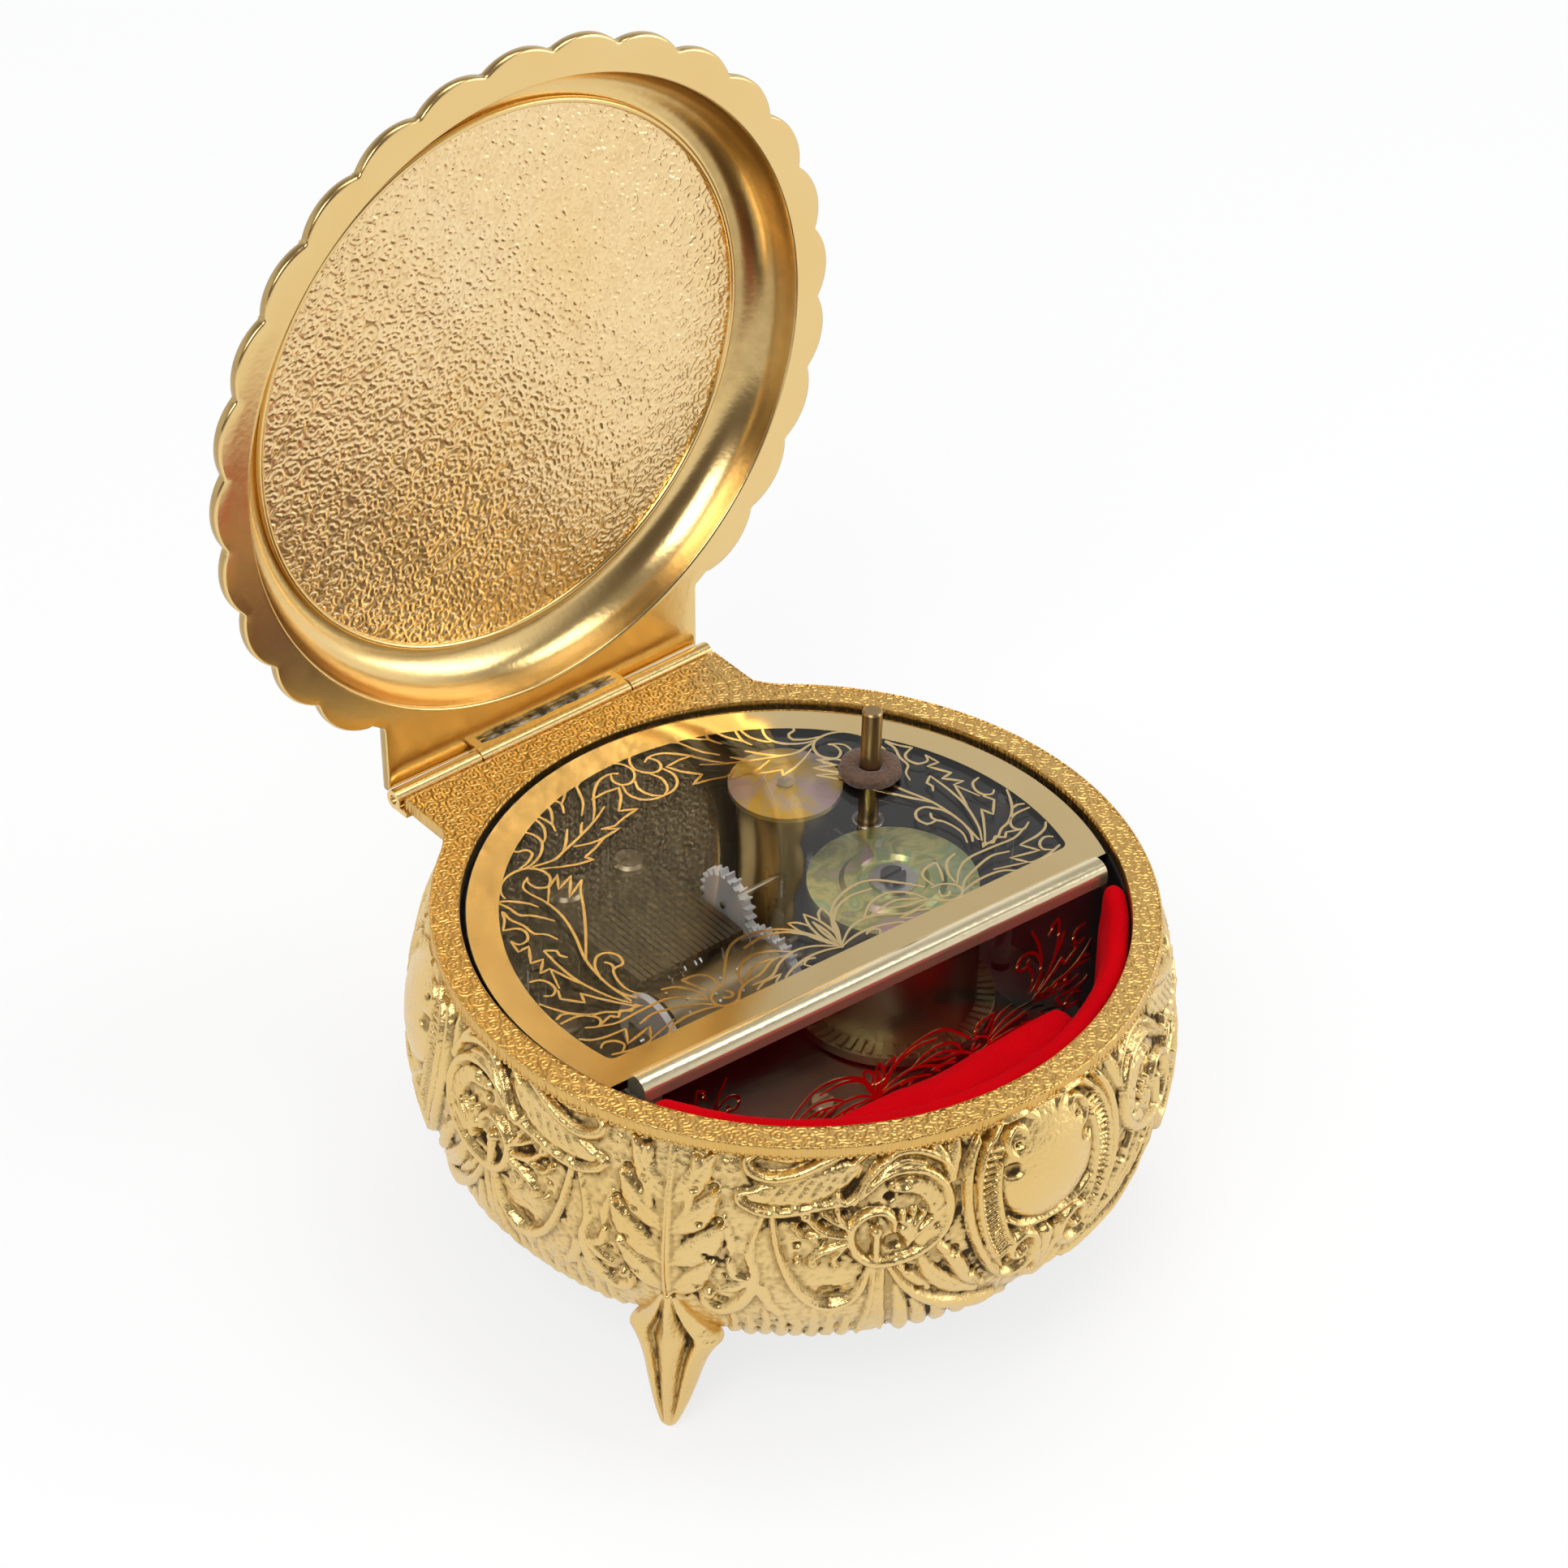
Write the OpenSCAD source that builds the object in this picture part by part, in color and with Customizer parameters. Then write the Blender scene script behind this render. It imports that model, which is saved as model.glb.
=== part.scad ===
// Round footed trinket box with a wind up musical movement.
// A gilt cast case on three feet, a hinged scalloped lid, a clear insert over the
// movement, a lined compartment in front of it and a rod that stops the tune.
// Frame: +Z up, +Y towards the hinge, origin on the table below the centre of the
// round opening. Millimetres. Drawn with the lid open and the rod up.

/* [Case] */
// Radius of the round opening
open_r = 50; // [48:0.5:62]
// Width of the flat rim round the opening
rim_w = 4.6; // [4:0.2:7]
// Height of the cast case from its lower edge to the rim
body_h = 40; // [40:1:54]
// How far the belly stands out past the rim
belly = 3.6; // [1:0.2:6]
// Wall thickness of the casting
wall = 2.4; // [1.6:0.1:2.8]
// Height of the feet below the case
leg_h = 17.5; // [15:0.5:30]
// How far the foot tips stand out past the rim
foot_out = 0.4; // [-4:0.1:5]
// Angle of each front foot from the middle of the front
leg_spread = 58.7; // [45:0.5:70]
// Diameter of the flat end of a foot
foot_d = 2.2; // [1.6:0.2:5]
// Width of a foot where it leaves the case
leg_w = 15; // [10:1:20]

/* [Lid] */
// Angle the lid stands open at
lid_angle = 92.5; // [90:0.5:110]
// How far the scallop tips stand out past the rim
lid_over = 3.1; // [2.4:0.1:5]
// Depth of one scallop
scallop_d = 1.7; // [1:0.1:2.5]
// Scallops left of the front one, and as many right
scallops = 11; // [6:1:11]
// Angle between scallops
scallop_step = 12.5; // [10:0.5:12.5]
// Thickness of the lid casting
lid_t = 1.8; // [1.2:0.1:2.5]
// Height of the lid's hollow above its rim
lid_deep = 8; // [7.4:0.1:10]
// Radius of the flat panel inside the lid
panel_r = 44.6; // [38:0.2:46]
// Thickness of the embossed panel
panel_t = 0.4; // [0.3:0.1:0.8]
// Outer radius of the lid's smooth cove
cove_r = 51.6; // [48.5:0.1:53]
// Radius of the bead wire round the panel
bead_r = 0.55; // [0.4:0.05:1]

/* [Hinge] */
// Distance from the rim's edge back to the hinge line
hinge_back = 3.9; // [3.5:0.1:8]
// Diameter of the hinge tube
knuckle_d = 3.2; // [2.4:0.2:5]
// Diameter of the hinge pin
pin_d = 1.6; // [1:0.1:2]
// Whole length of the hinge
hinge_len = 62; // [40:1:70]
// Length of the middle knuckle
mid_knuckle = 29.2; // [16:0.2:34]
// Gap between knuckles
knuckle_gap = 0.3; // [0.2:0.05:0.6]
// Gap between rim and closed lid
lid_gap = 0.15; // [0.1:0.05:0.5]

/* [Insert] */
// Gap between the insert and the opening
insert_gap = 0.8; // [0.3:0.1:1.5]
// Depth of the insert's face below the rim
insert_drop = 1.2; // [0.5:0.1:3]
// Thickness of the clear insert
insert_t = 1.6; // [1:0.1:2.5]
// Distance from the centre to the front of the ridge
divide_y = 21; // [19:0.5:24]
// Width of the rounded ridge
ridge_w = 4.2; // [3:0.2:6]
// Height of the ridge above the insert's face
ridge_h = 1.7; // [1:0.1:3]
// How far each end of the ridge stops short of the insert's edge
ridge_gap = 1.5; // [0.5:0.1:4]
// Angle the insert is turned by
insert_turn = -3; // [-6:0.5:6]
// Thickness of the clear dividing wall
divide_t = 1.6; // [1:0.1:2.5]

/* [Lining] */
// Thickness of the lining on the wall
lining_t = 3.6; // [2:0.2:5]
// Depth of the compartment floor below the rim
floor_drop = 28.5; // [18:0.5:29.5]
// Thickness of the lined floor
floor_t = 1.4; // [1:0.1:2]
// Depth of the front cushion below the rim
pad_drop = 5; // [4:0.5:12]
// Distance from the centre to the cushion's back
pad_y = 34; // [31:0.5:38]
// Distance the cushion reaches to the right
pad_right = 24; // [10:1:28]

/* [Base] */
// Height of the base plate's underside above the case's lower edge
base_up = 4; // [2:0.5:6]
// Thickness of the base plate
base_t = 1; // [0.8:0.1:2]
// Thickness of the movement's bed
bed_t = 2.2; // [1.6:0.1:3]
// Shank diameter of the small screws
screw_d = 2; // [1.6:0.1:3]
// Head diameter of the small screws
head_d = 4.4; // [3.6:0.2:6]

/* [Spring drum] */
// Sideways place of the drum
drum_x = 22.4; // [20:0.2:24]
// Place of the drum towards the hinge
drum_y = 3.2; // [1:0.2:3.4]
// Diameter of the drum
drum_d = 26.5; // [22:0.5:26.5]
// Height of the drum above the bed
drum_h = 22.8; // [18:0.2:23.2]
// Radius of the toothed flange under the drum
flange_r = 16.2; // [15.4:0.1:16.4]
// Teeth on the flange
drum_teeth = 60; // [48:4:72]
// Diameter of the winding arbor
arbor_d = 4; // [3:0.2:5]

/* [Cylinder and comb] */
// Radius of the pinned cylinder
cyl_r = 6.5; // [5:0.1:6.6]
// Length of the pinned cylinder
cyl_len = 21.4; // [18:0.2:22]
// Place of the cylinder's right end
cyl_x = 3.9; // [3:0.1:4]
// Place of the cylinder's axis towards the hinge
cyl_y = 10.4; // [10:0.1:10.8]
// Height of the cylinder's axis above the bed
cyl_up = 8.8; // [8.6:0.1:10]
// How far a pin stands out
pin_out = 0.7; // [0.4:0.1:0.8]
// Teeth of the comb
notes = 18; // [12:1:22]
// Width of the comb
comb_w = 19.9; // [16:0.1:20]
// Length of the comb
comb_l = 20.5; // [18:0.5:20.5]
// Thickness of the comb
comb_t = 1; // [0.8:0.1:1.4]
// Height of the comb above the cylinder's axis
comb_up = 5.2; // [4.6:0.1:6]

/* [Train and governor] */
// Gear module of the nylon wheels
gear_m = 0.5; // [0.4:0.05:0.5]
// Teeth of the cylinder's wheel
wheel_teeth = 30; // [24:2:30]
// Teeth of the second wheel
second_teeth = 22; // [18:1:22]
// Height of the second axis above the cylinder's axis
second_rise = 7; // [6:0.1:7.4]
// Sideways place of the governor
gov_x = 20; // [19:0.1:20.5]
// Diameter of the governor's can
can_d = 15; // [12:0.2:15.2]
// Diameter of the can's cap
cap_d = 17.8; // [15.4:0.2:18]
// Depth of the cap's top below the rim
cap_drop = 4; // [3.4:0.1:8]
// Radius of the worm wheel
worm_wheel_r = 3.4; // [3:0.1:3.5]
// Radius of the worm
worm_r = 1.2; // [1:0.1:1.4]

/* [Stop rod and key] */
// Diameter of the stop rod
rod_d = 3.2; // [2.4:0.1:4]
// Height of the rod's top above the rim
rod_up = 10.9; // [9:0.1:11]
// Sideways place of the rod
rod_x = 30.2; // [28:0.2:31]
// Place of the rod towards the hinge
rod_y = 18; // [17:0.2:19]
// Diameter of the felt washer on the insert
felt_d = 9.4; // [6:0.2:12]
// Thickness of the felt washer
felt_t = 1.8; // [1:0.1:3]
// Span of the winding key's wings
key_w = 22; // [16:1:26]
// Height of the winding key's wings
key_h = 8.5; // [6:0.5:10]

/* [Hidden] */
$fn = 48;
e = 0.01;

// heights and radii that follow from the sizes above
rim_z = leg_h + body_h;
rim_r = open_r + rim_w;
belly_r = rim_r + belly;
rim_t = 2.2;
leg_r = rim_r + foot_out;
hinge_y = rim_r + hinge_back;
hinge_z = rim_z - knuckle_d / 2;
edge_y = hinge_y - knuckle_d / 2 - 0.3;
shelf_w = hinge_len - 1.2;
trough_r = rim_r + lid_over - scallop_d;
tip_r = rim_r + lid_over;
base_z = leg_h + base_up;
bed_z = base_z + base_t;
bed_top = bed_z + bed_t;
bed_r = open_r - 4;
plate_r = open_r - 1.7;
face_z = rim_z - insert_drop;
insert_r = open_r - insert_gap;
ridge_len = 2 * (sqrt(insert_r * insert_r - divide_y * divide_y) - ridge_gap);
cyl_z = bed_top + cyl_up;
second_d = gear_m * (wheel_teeth + second_teeth) / 2;
second_y = cyl_y + sqrt(second_d * second_d - second_rise * second_rise);
second_z = cyl_z + second_rise;
wheel_x = cyl_x + 0.4;
wheel_t = 1.4;
gov_y = second_y + worm_wheel_r + worm_r + 0.12;
cap_z = rim_z - cap_drop;
can_z = bed_top + 5;
comb_z = cyl_z + comb_up;
comb_y = cyl_y + sqrt((cyl_r + pin_out + 0.15) ^ 2 - comb_up ^ 2);
comb_x = cyl_x - 0.8 - comb_w;
drum_r = drum_d / 2;
drum_z = bed_top + 0.6;
drum_top = bed_top + drum_h;
flange_t = 2.2;
pinion_x = wheel_x + wheel_t + 1.5;
pinion_r = cyl_z - drum_z - flange_t - 0.15;
rod_low = bed_top + 8.6;
lever_z = rod_low - 0.25;
lever_y = rod_y + 14;
guide_z = bed_top + 11;
collar_z = bed_top + 21;
lid_bottom = rim_z + lid_gap;
boss_r = open_r - 5.5;
boss_at = [-90, 180, 22];
leg_at = [-90 - leg_spread, -90 + leg_spread, 90];
bed_screw_at = [[-2, -9], [-21.5, 28], [12, 38]];
post_at = [[-38, 14], [2, 45], [43.5, 1]];
comb_screw_at = [for (s = [-6.2, 6.2]) [comb_x + comb_w / 2 + s, comb_y + comb_l + 2.6]];
spring_turns = 5;
spring_step = 24;
// turn of the second wheel, so that one of its gaps faces a tooth of the first wheel
mesh_dir = atan2(second_y - cyl_y, -(second_z - cyl_z));
tooth_off = mesh_dir - 360 / wheel_teeth * round(mesh_dir / (360 / wheel_teeth));
mesh_turn = mesh_dir + 180 + 180 / second_teeth + tooth_off * wheel_teeth / second_teeth;

// smooth step from 0 to 1
function ease(t) = t * t * (3 - 2 * t);

// outline of the casting's outside, rim down to the lower edge: [radius, depth share]
function outer(k) =
    let (t = k / 22)
    [rim_r - 1 + (belly + 1) * sin(min(1, t / 0.5) * 90) ^ 1.2
        - (t > 0.62 ? (belly + 4.4) * ((t - 0.62) / 0.38) ^ 2 : 0), t];

// one gear outline with straight sided teeth
module gear2d(z, m, slack = 0.16) {
    r = z * m / 2;
    step = 360 / z;
    polygon([for (i = [0 : z - 1], j = [0 : 3])
        let (a = i * step, w = (j == 0 || j == 3) ? 0.25 * step - 57.3 * slack / 2 / r
            : 0.12 * step - 57.3 * slack / 4 / r,
            q = (j == 0 || j == 3) ? r - 1.2 * m : r + 0.85 * m)
        [q * cos(a + (j < 2 ? -w : w)), q * sin(a + (j < 2 ? -w : w))]]);
}

// slotted pan head screw, head at z = 0 upwards, shank below
module screw(len, hd = head_d, d = screw_d) {
    difference() {
        union() {
            cylinder(d = hd, h = 0.9);
            translate([0, 0, 0.9]) cylinder(d1 = hd, d2 = hd - 1, h = 0.5);
            translate([0, 0, -len]) cylinder(d = d, h = len + e);
        }
        translate([-hd, -0.3, 0.8]) cube([2 * hd, 0.6, 1]);
    }
}

// shape of the top flange that carries the hinge
module shelf2d(back) {
    translate([-shelf_w / 2, rim_r * 0.55]) square([shelf_w, back - rim_r * 0.55]);
}

// outer profile of the casting from under its rim down, at steps k = a to b
function side(a, b, in = 0) = [for (k = [a : sign(b - a) : b]) let (p = outer(k))
    [p[0] - in, rim_z - 1.4 - (body_h - 1.4) * p[1]]];

// one level of a foot: an oval slice at radius r and height z
module slice(r, z, flat, w, h) {
    translate([r, 0, z]) scale([flat, 1, 1]) cylinder(d = w, h = h, $fn = 24);
}

module leg() {
    hull() {
        slice(rim_r - 2.2, leg_h + 9, 0.34, leg_w * 0.7, 1);
        slice(rim_r - 2, leg_h + 2.2, 0.42, leg_w, 1);
    }
    hull() {
        slice(rim_r - 2, leg_h + 2.2, 0.42, leg_w, 0.6);
        slice(rim_r - 2.4, leg_h - 3.4, 0.72, leg_w * 0.56, 0.5);
    }
    hull() {
        slice(rim_r - 2.4, leg_h - 3.4, 0.72, leg_w * 0.56, 0.5);
        slice(leg_r, 0, 1, foot_d, 1);
    }
}

module feet() color("goldenrod") difference() {
    for (a = leg_at) rotate([0, 0, a]) leg();
    rotate_extrude($fn = 192) polygon(concat([[0, rim_z]], side(0, 22), [[0, leg_h]]));
}

module case_shell() color("goldenrod") {
    difference() {
        union() {
            rotate_extrude($fn = 96) polygon(concat(
                [[rim_r, rim_z], [rim_r, rim_z - 1.1]], side(1, 22),
                [[plate_r + 0.3, leg_h], [plate_r + 0.3, bed_z], [belly_r - wall - 3, bed_z + 1]],
                [for (p = side(19, 3, wall)) [p[0], max(bed_z + 1.2, p[1])]],
                [[open_r, rim_z - 3.4], [open_r, rim_z]]));
            translate([0, 0, rim_z - rim_t]) linear_extrude(rim_t) difference() {
                shelf2d(edge_y - 0.4);
                circle(r = open_r + 2);
            }
            for (a = boss_at) rotate([0, 0, a]) {
                translate([boss_r, 0, bed_z]) cylinder(d = 6, h = 4.5);
                translate([boss_r, -1.2, bed_z]) cube([belly_r - wall - boss_r - 2.6, 2.4, 4.5]);
            }
        }
        for (a = boss_at) rotate([0, 0, a]) translate([boss_r, 0, bed_z - e])
            cylinder(d = screw_d, h = 4);
    }
}

module base_plate() color("silver") translate([0, 0, base_z]) linear_extrude(base_t) difference() {
    circle(r = plate_r);
    translate([drum_x, drum_y]) circle(d = arbor_d + 4);
    for (a = boss_at) rotate([0, 0, a]) translate([boss_r, 0]) circle(d = screw_d + 0.6);
    for (p = bed_screw_at) translate(p) circle(d = screw_d + 0.6);
    for (i = [-2 : 2]) translate([-22, i * 5]) circle(d = 2.6);
}

module base_screws() color("gainsboro") for (a = boss_at) rotate([0, 0, a])
    translate([boss_r, 0, base_z]) rotate([180, 0, 0]) screw(base_t + 3.4, head_d, screw_d - 0.04);

module hinge_knuckles() color("gold") for (s = [-1, 1]) {
    x0 = mid_knuckle / 2 + knuckle_gap;
    len = hinge_len / 2 - x0;
    translate([s > 0 ? x0 : -x0 - len, 0, 0]) difference() {
        union() {
            translate([0, hinge_y, hinge_z]) rotate([0, 90, 0]) cylinder(d = knuckle_d, h = len);
            translate([0, edge_y - 1.4, hinge_z - knuckle_d / 2 + 0.1])
                cube([len, hinge_y - edge_y + 1.4, rim_z - rim_t - hinge_z + knuckle_d / 2 - 0.1]);
        }
        translate([-e, hinge_y, hinge_z]) rotate([0, 90, 0]) cylinder(d = pin_d, h = len + 2 * e);
    }
}

module hinge_pin() color("silver") translate([-hinge_len / 2 + 0.6, hinge_y, hinge_z])
    rotate([0, 90, 0]) cylinder(d = pin_d, h = hinge_len - 1.2);

// D shape of the insert, its straight side parallel to X
module insert2d(r, front) {
    intersection() {
        circle(r = r, $fn = 96);
        translate([-r, -front]) square([2 * r, front + r]);
    }
}

module insert_window() color("gold", 0.5) difference() {
    rotate([0, 0, insert_turn]) translate([0, 0, face_z - insert_t]) linear_extrude(insert_t)
        insert2d(insert_r, divide_y - ridge_w);
    translate([rod_x, rod_y, face_z - insert_t - e]) cylinder(d = rod_d + 0.16, h = insert_t + 2 * e);
}

module insert_ridge() color("khaki") rotate([0, 0, insert_turn])
    translate([-ridge_len / 2, -divide_y + ridge_w / 2, face_z - insert_t])
    rotate([90, 0, 90]) linear_extrude(ridge_len) difference() {
        union() {
            translate([-ridge_w / 2, 0]) square([ridge_w, insert_t + e]);
            translate([0, insert_t]) scale([1, 2 * ridge_h / ridge_w]) circle(d = ridge_w);
        }
        translate([-ridge_w, -9]) square([2 * ridge_w, 9]);
    }

module insert_wall() color("darkred", 0.5) rotate([0, 0, insert_turn])
    translate([-ridge_len / 2, -divide_y, bed_z])
    cube([ridge_len, divide_t, face_z - insert_t - bed_z]);

module insert_posts() color("gold", 0.5) for (p = post_at) translate([p[0], p[1], bed_z])
    cylinder(d = 3, h = face_z - insert_t - bed_z);

module lining_wall() color("red") difference() {
    translate([0, 0, bed_z + 5.2]) cylinder(r = open_r - 0.1, h = rim_z - 1.4 - bed_z - 5.2, $fn = 96);
    translate([0, 0, bed_z + 5.1]) cylinder(r = open_r - lining_t, h = body_h, $fn = 96);
    rotate([0, 0, insert_turn]) translate([-belly_r, -divide_y - 0.2, 0])
        cube([2 * belly_r, 2 * belly_r, 2 * rim_z]);
}

module lining_floor() color("red") translate([0, 0, rim_z - floor_drop - floor_t]) linear_extrude(floor_t)
    difference() {
        circle(r = open_r - lining_t - 0.1, $fn = 96);
        rotate([0, 0, insert_turn]) translate([-belly_r, -divide_y - 0.2]) square(2 * belly_r);
    }

module lining_pad() color("red") translate([0, 0, rim_z - floor_drop + 0.05])
    linear_extrude(floor_drop - pad_drop) intersection() {
        circle(r = open_r - lining_t - 0.1, $fn = 96);
        rotate([0, 0, insert_turn]) translate([-open_r, -open_r - 4])
            square([open_r + pad_right, open_r + 4 - pad_y]);
    }

module felt_washer() color("saddlebrown") translate([rod_x, rod_y, face_z]) difference() {
    cylinder(d = felt_d, h = felt_t);
    translate([0, 0, -e]) cylinder(d = rod_d + 0.16, h = felt_t + 2 * e);
}

module bed() color("dimgray") difference() {
    translate([0, 0, bed_z]) linear_extrude(bed_t) intersection() {
        circle(r = bed_r, $fn = 96);
        union() {
            translate([-24, -12.4]) square([61, 12.4 + comb_y + comb_l + 6.3]);
            translate([-6, -13]) square([8, 5]);
        }
        rotate([0, 0, insert_turn]) translate([-open_r, -divide_y + divide_t + 0.3]) square(2 * open_r);
    }
    translate([drum_x, drum_y, bed_z - e]) cylinder(d = arbor_d + 0.08, h = bed_t + 2 * e);
    for (p = bed_screw_at) translate([p[0], p[1], bed_z - e]) cylinder(d = screw_d, h = bed_t + 2 * e);
    translate([gov_x, gov_y, bed_top - 1.4]) cylinder(d = 1.08, h = 2);
}

module bed_screws() color("gainsboro") for (p = bed_screw_at)
    translate([p[0], p[1], bed_top]) screw(bed_t + base_t - 0.1, head_d, screw_d - 0.04);

module comb() color("gray") translate([comb_x, comb_y, comb_z]) difference() {
    cube([comb_w, comb_l + 5.4, comb_t]);
    for (i = [1 : notes - 1]) translate([i * comb_w / notes - 0.13, -e, -e])
        cube([0.26, comb_l * (0.74 + 0.22 * i / notes), comb_t + 2 * e]);
    for (p = comb_screw_at) translate([p[0] - comb_x, p[1] - comb_y, -e])
        cylinder(d = screw_d + 0.2, h = 3);
}

module comb_base() color("dimgray") difference() {
    translate([comb_x - 1, comb_y + comb_l - 1.4, bed_top]) cube([comb_w + 1.6, 7.4, comb_z - bed_top]);
    for (p = comb_screw_at) translate([p[0], p[1], comb_z - 4]) cylinder(d = screw_d, h = 5);
}

module comb_screws() color("khaki") for (p = comb_screw_at)
    translate([p[0], p[1], comb_z + comb_t]) screw(comb_t + 3, head_d + 1, screw_d - 0.04);

module cylinder_bearings() color("silver") difference() {
    union() {
        translate([cyl_x - cyl_len - 3.6, cyl_y - 3, bed_top]) cube([1.2, 6, cyl_up + 2.4]);
        translate([cyl_x - cyl_len - 6.4, cyl_y - 3, bed_top]) cube([3.2, 6, 1.2]);
        translate([wheel_x + wheel_t + 0.25, cyl_y - 1.6, cyl_z - 2.4]) cube([0.9, 9.2, 4.6]);
        translate([wheel_x + wheel_t + 0.25, cyl_y + 9.6, bed_top]) cube([0.9, 7, second_z - bed_top + 2.2]);
        translate([wheel_x + wheel_t + 0.25, cyl_y + 5, cyl_z - 2.4]) cube([0.9, 6, 4.6]);
    }
    translate([-40, cyl_y, cyl_z]) rotate([0, 90, 0]) cylinder(d = 1.58, h = 80);
    translate([0, second_y, second_z]) rotate([0, 90, 0]) cylinder(d = 1.28, h = 40);
}

module train_bearings() color("silver") difference() {
    union() {
        translate([gov_x + 7.65, second_y - 1.4, bed_top + 5]) cube([0.6, 3.2, second_z - bed_top - 3]);
        translate([gov_x + 7.65, second_y + 1, bed_top]) cube([0.6, 3.4, 6.4]);
    }
    translate([0, second_y, second_z]) rotate([0, 90, 0]) cylinder(d = 1.28, h = 40);
}

module governor_frame() color("silver") difference() {
    union() {
        for (s = [-1, 1]) translate([gov_x + s * 4.6, gov_y + 3.4, bed_top])
            cylinder(d = 2.4, h = can_z - bed_top - 0.8 + e);
        translate([gov_x, gov_y, can_z - 0.8]) cylinder(d = can_d, h = 0.8);
    }
    translate([gov_x, gov_y, can_z - 1]) cylinder(d = 3, h = 2);
    translate([gov_x - 1.4, gov_y - can_d, can_z - 1]) cube([2.8, can_d, 3]);
}

module governor_can() color("darkolivegreen") difference() {
    translate([gov_x, gov_y, can_z]) cylinder(d = can_d, h = cap_z - 0.8 - can_z);
    translate([gov_x, gov_y, can_z - e]) cylinder(d = can_d - 1, h = rim_z);
    translate([gov_x - 1.6, gov_y - can_d, can_z - e])
        cube([3.2, can_d, second_z + worm_wheel_r + 1 - can_z]);
    translate([gov_x - can_d, second_y - 1.2, can_z - e]) cube([2 * can_d, 2.4, second_z + 1.2 - can_z]);
}

module can_cap() color("orange") difference() {
    translate([gov_x, gov_y, cap_z - 0.8]) cylinder(d = cap_d, h = 0.8);
    translate([gov_x, gov_y, cap_z - 0.9]) cylinder(d = 1.08, h = 2);
}

module cap_rivet() color("gray") translate([gov_x, gov_y, cap_z]) difference() {
    cylinder(d = 2.6, h = 0.35);
    translate([0, 0, -e]) cylinder(d = 1.08, h = 0.2);
}

module rod_guide() color("silver") {
    gx = rod_x + 5;
    gy = rod_y + 6.4;
    difference() {
        union() {
            translate([gx, gy, bed_top]) cylinder(d = 2.4, h = guide_z + 0.8 - bed_top);
            translate([0, 0, guide_z]) linear_extrude(0.8) union() {
                polygon([[gx - 1.2, gy + 1.2], [gx + 1.2, gy - 1], [rod_x + 2, rod_y - 1.2],
                    [rod_x - 0.6, rod_y + 2.3]]);
                translate([rod_x, rod_y]) circle(r = rod_d / 2 + 0.7);
                translate([gx, gy]) circle(r = 1.2);
            }
        }
        translate([rod_x, rod_y, guide_z - e]) cylinder(d = rod_d + 0.16, h = 2);
    }
}

// coil spring round the rod: rings of points swept along a helix
module rod_spring() color("silver") {
    turns = 6;
    n = 12;
    s = 6;
    r = rod_d / 2 + 0.55;
    w = 0.22;
    h = collar_z - guide_z - 0.8 - 2 * w - 0.1;
    last = turns * n;
    pts = [for (i = [0 : last], j = [0 : s - 1])
        let (a = i * 360 / n, b = j * 360 / s, q = r + w * cos(b))
        [q * cos(a), q * sin(a), h * i / last + w * sin(b)]];
    sides = [for (i = [0 : last - 1], j = [0 : s - 1]) let (k = (j + 1) % s)
        [i * s + j, i * s + k, (i + 1) * s + k, (i + 1) * s + j]];
    translate([rod_x, rod_y, guide_z + 0.8 + w + 0.05]) polyhedron(points = pts,
        faces = concat([[for (j = [s - 1 : -1 : 0]) j]], sides, [[for (j = [0 : s - 1]) last * s + j]]),
        convexity = 8);
}

module lever_bracket() color("silver") difference() {
    union() for (s = [-1, 1]) translate([rod_x - 0.4 + s * 2, lever_y - 1.6, bed_top])
        translate([-0.4, 0, 0]) cube([0.8, 3.2, lever_z - bed_top + 1.6]);
    translate([rod_x - 5, lever_y, lever_z]) rotate([0, 90, 0]) cylinder(d = 1.2, h = 10);
}

module lid_closed() {
    translate([0, hinge_y, hinge_z]) rotate([-lid_angle, 0, 0]) translate([0, -hinge_y, -hinge_z]) children();
}

module lid2d() {
    c = trough_r * sin(scallop_step / 2);
    s = tip_r - trough_r * cos(scallop_step / 2);
    lobe = (c * c + s * s) / (2 * s);
    circle(r = trough_r * cos(scallop_step / 2), $fn = 120);
    for (k = [-scallops : scallops]) rotate([0, 0, -90 + k * scallop_step])
        translate([tip_r - lobe, 0]) circle(r = lobe);
    shelf2d(edge_y);
}

module lid_shell() color("goldenrod") lid_closed() translate([0, 0, lid_bottom]) union() {
    difference() {
        linear_extrude(lid_t) lid2d();
        translate([0, 0, -1]) cylinder(r = cove_r, h = 9, $fn = 96);
    }
    rotate_extrude($fn = 96) polygon(concat(
        [[0, lid_deep], [panel_r + 0.6, lid_deep]],
        [for (i = [0 : 6]) let (a = 90 - 15 * i)
            [panel_r + 0.6 + (cove_r - panel_r - 0.6) * cos(a), lid_deep * sin(a)]],
        [[cove_r + 0.5, 0], [cove_r + 0.5, lid_t]],
        [for (i = [6 : -1 : 0]) let (a = 90 - 15 * i)
            [panel_r + 0.6 + (cove_r - panel_r + lid_t - 0.6) * cos(a), lid_t + lid_deep * sin(a)]],
        [[0, lid_deep + lid_t]]));
}

module lid_panel() color("gold") lid_closed() translate([0, 0, lid_bottom + lid_deep - panel_t])
    cylinder(r = panel_r - bead_r, h = panel_t, $fn = 96);

module lid_bead() color("khaki") lid_closed() translate([0, 0, lid_bottom + lid_deep - bead_r])
    rotate_extrude($fn = 96) translate([panel_r, 0]) circle(r = bead_r, $fn = 16);

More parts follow.
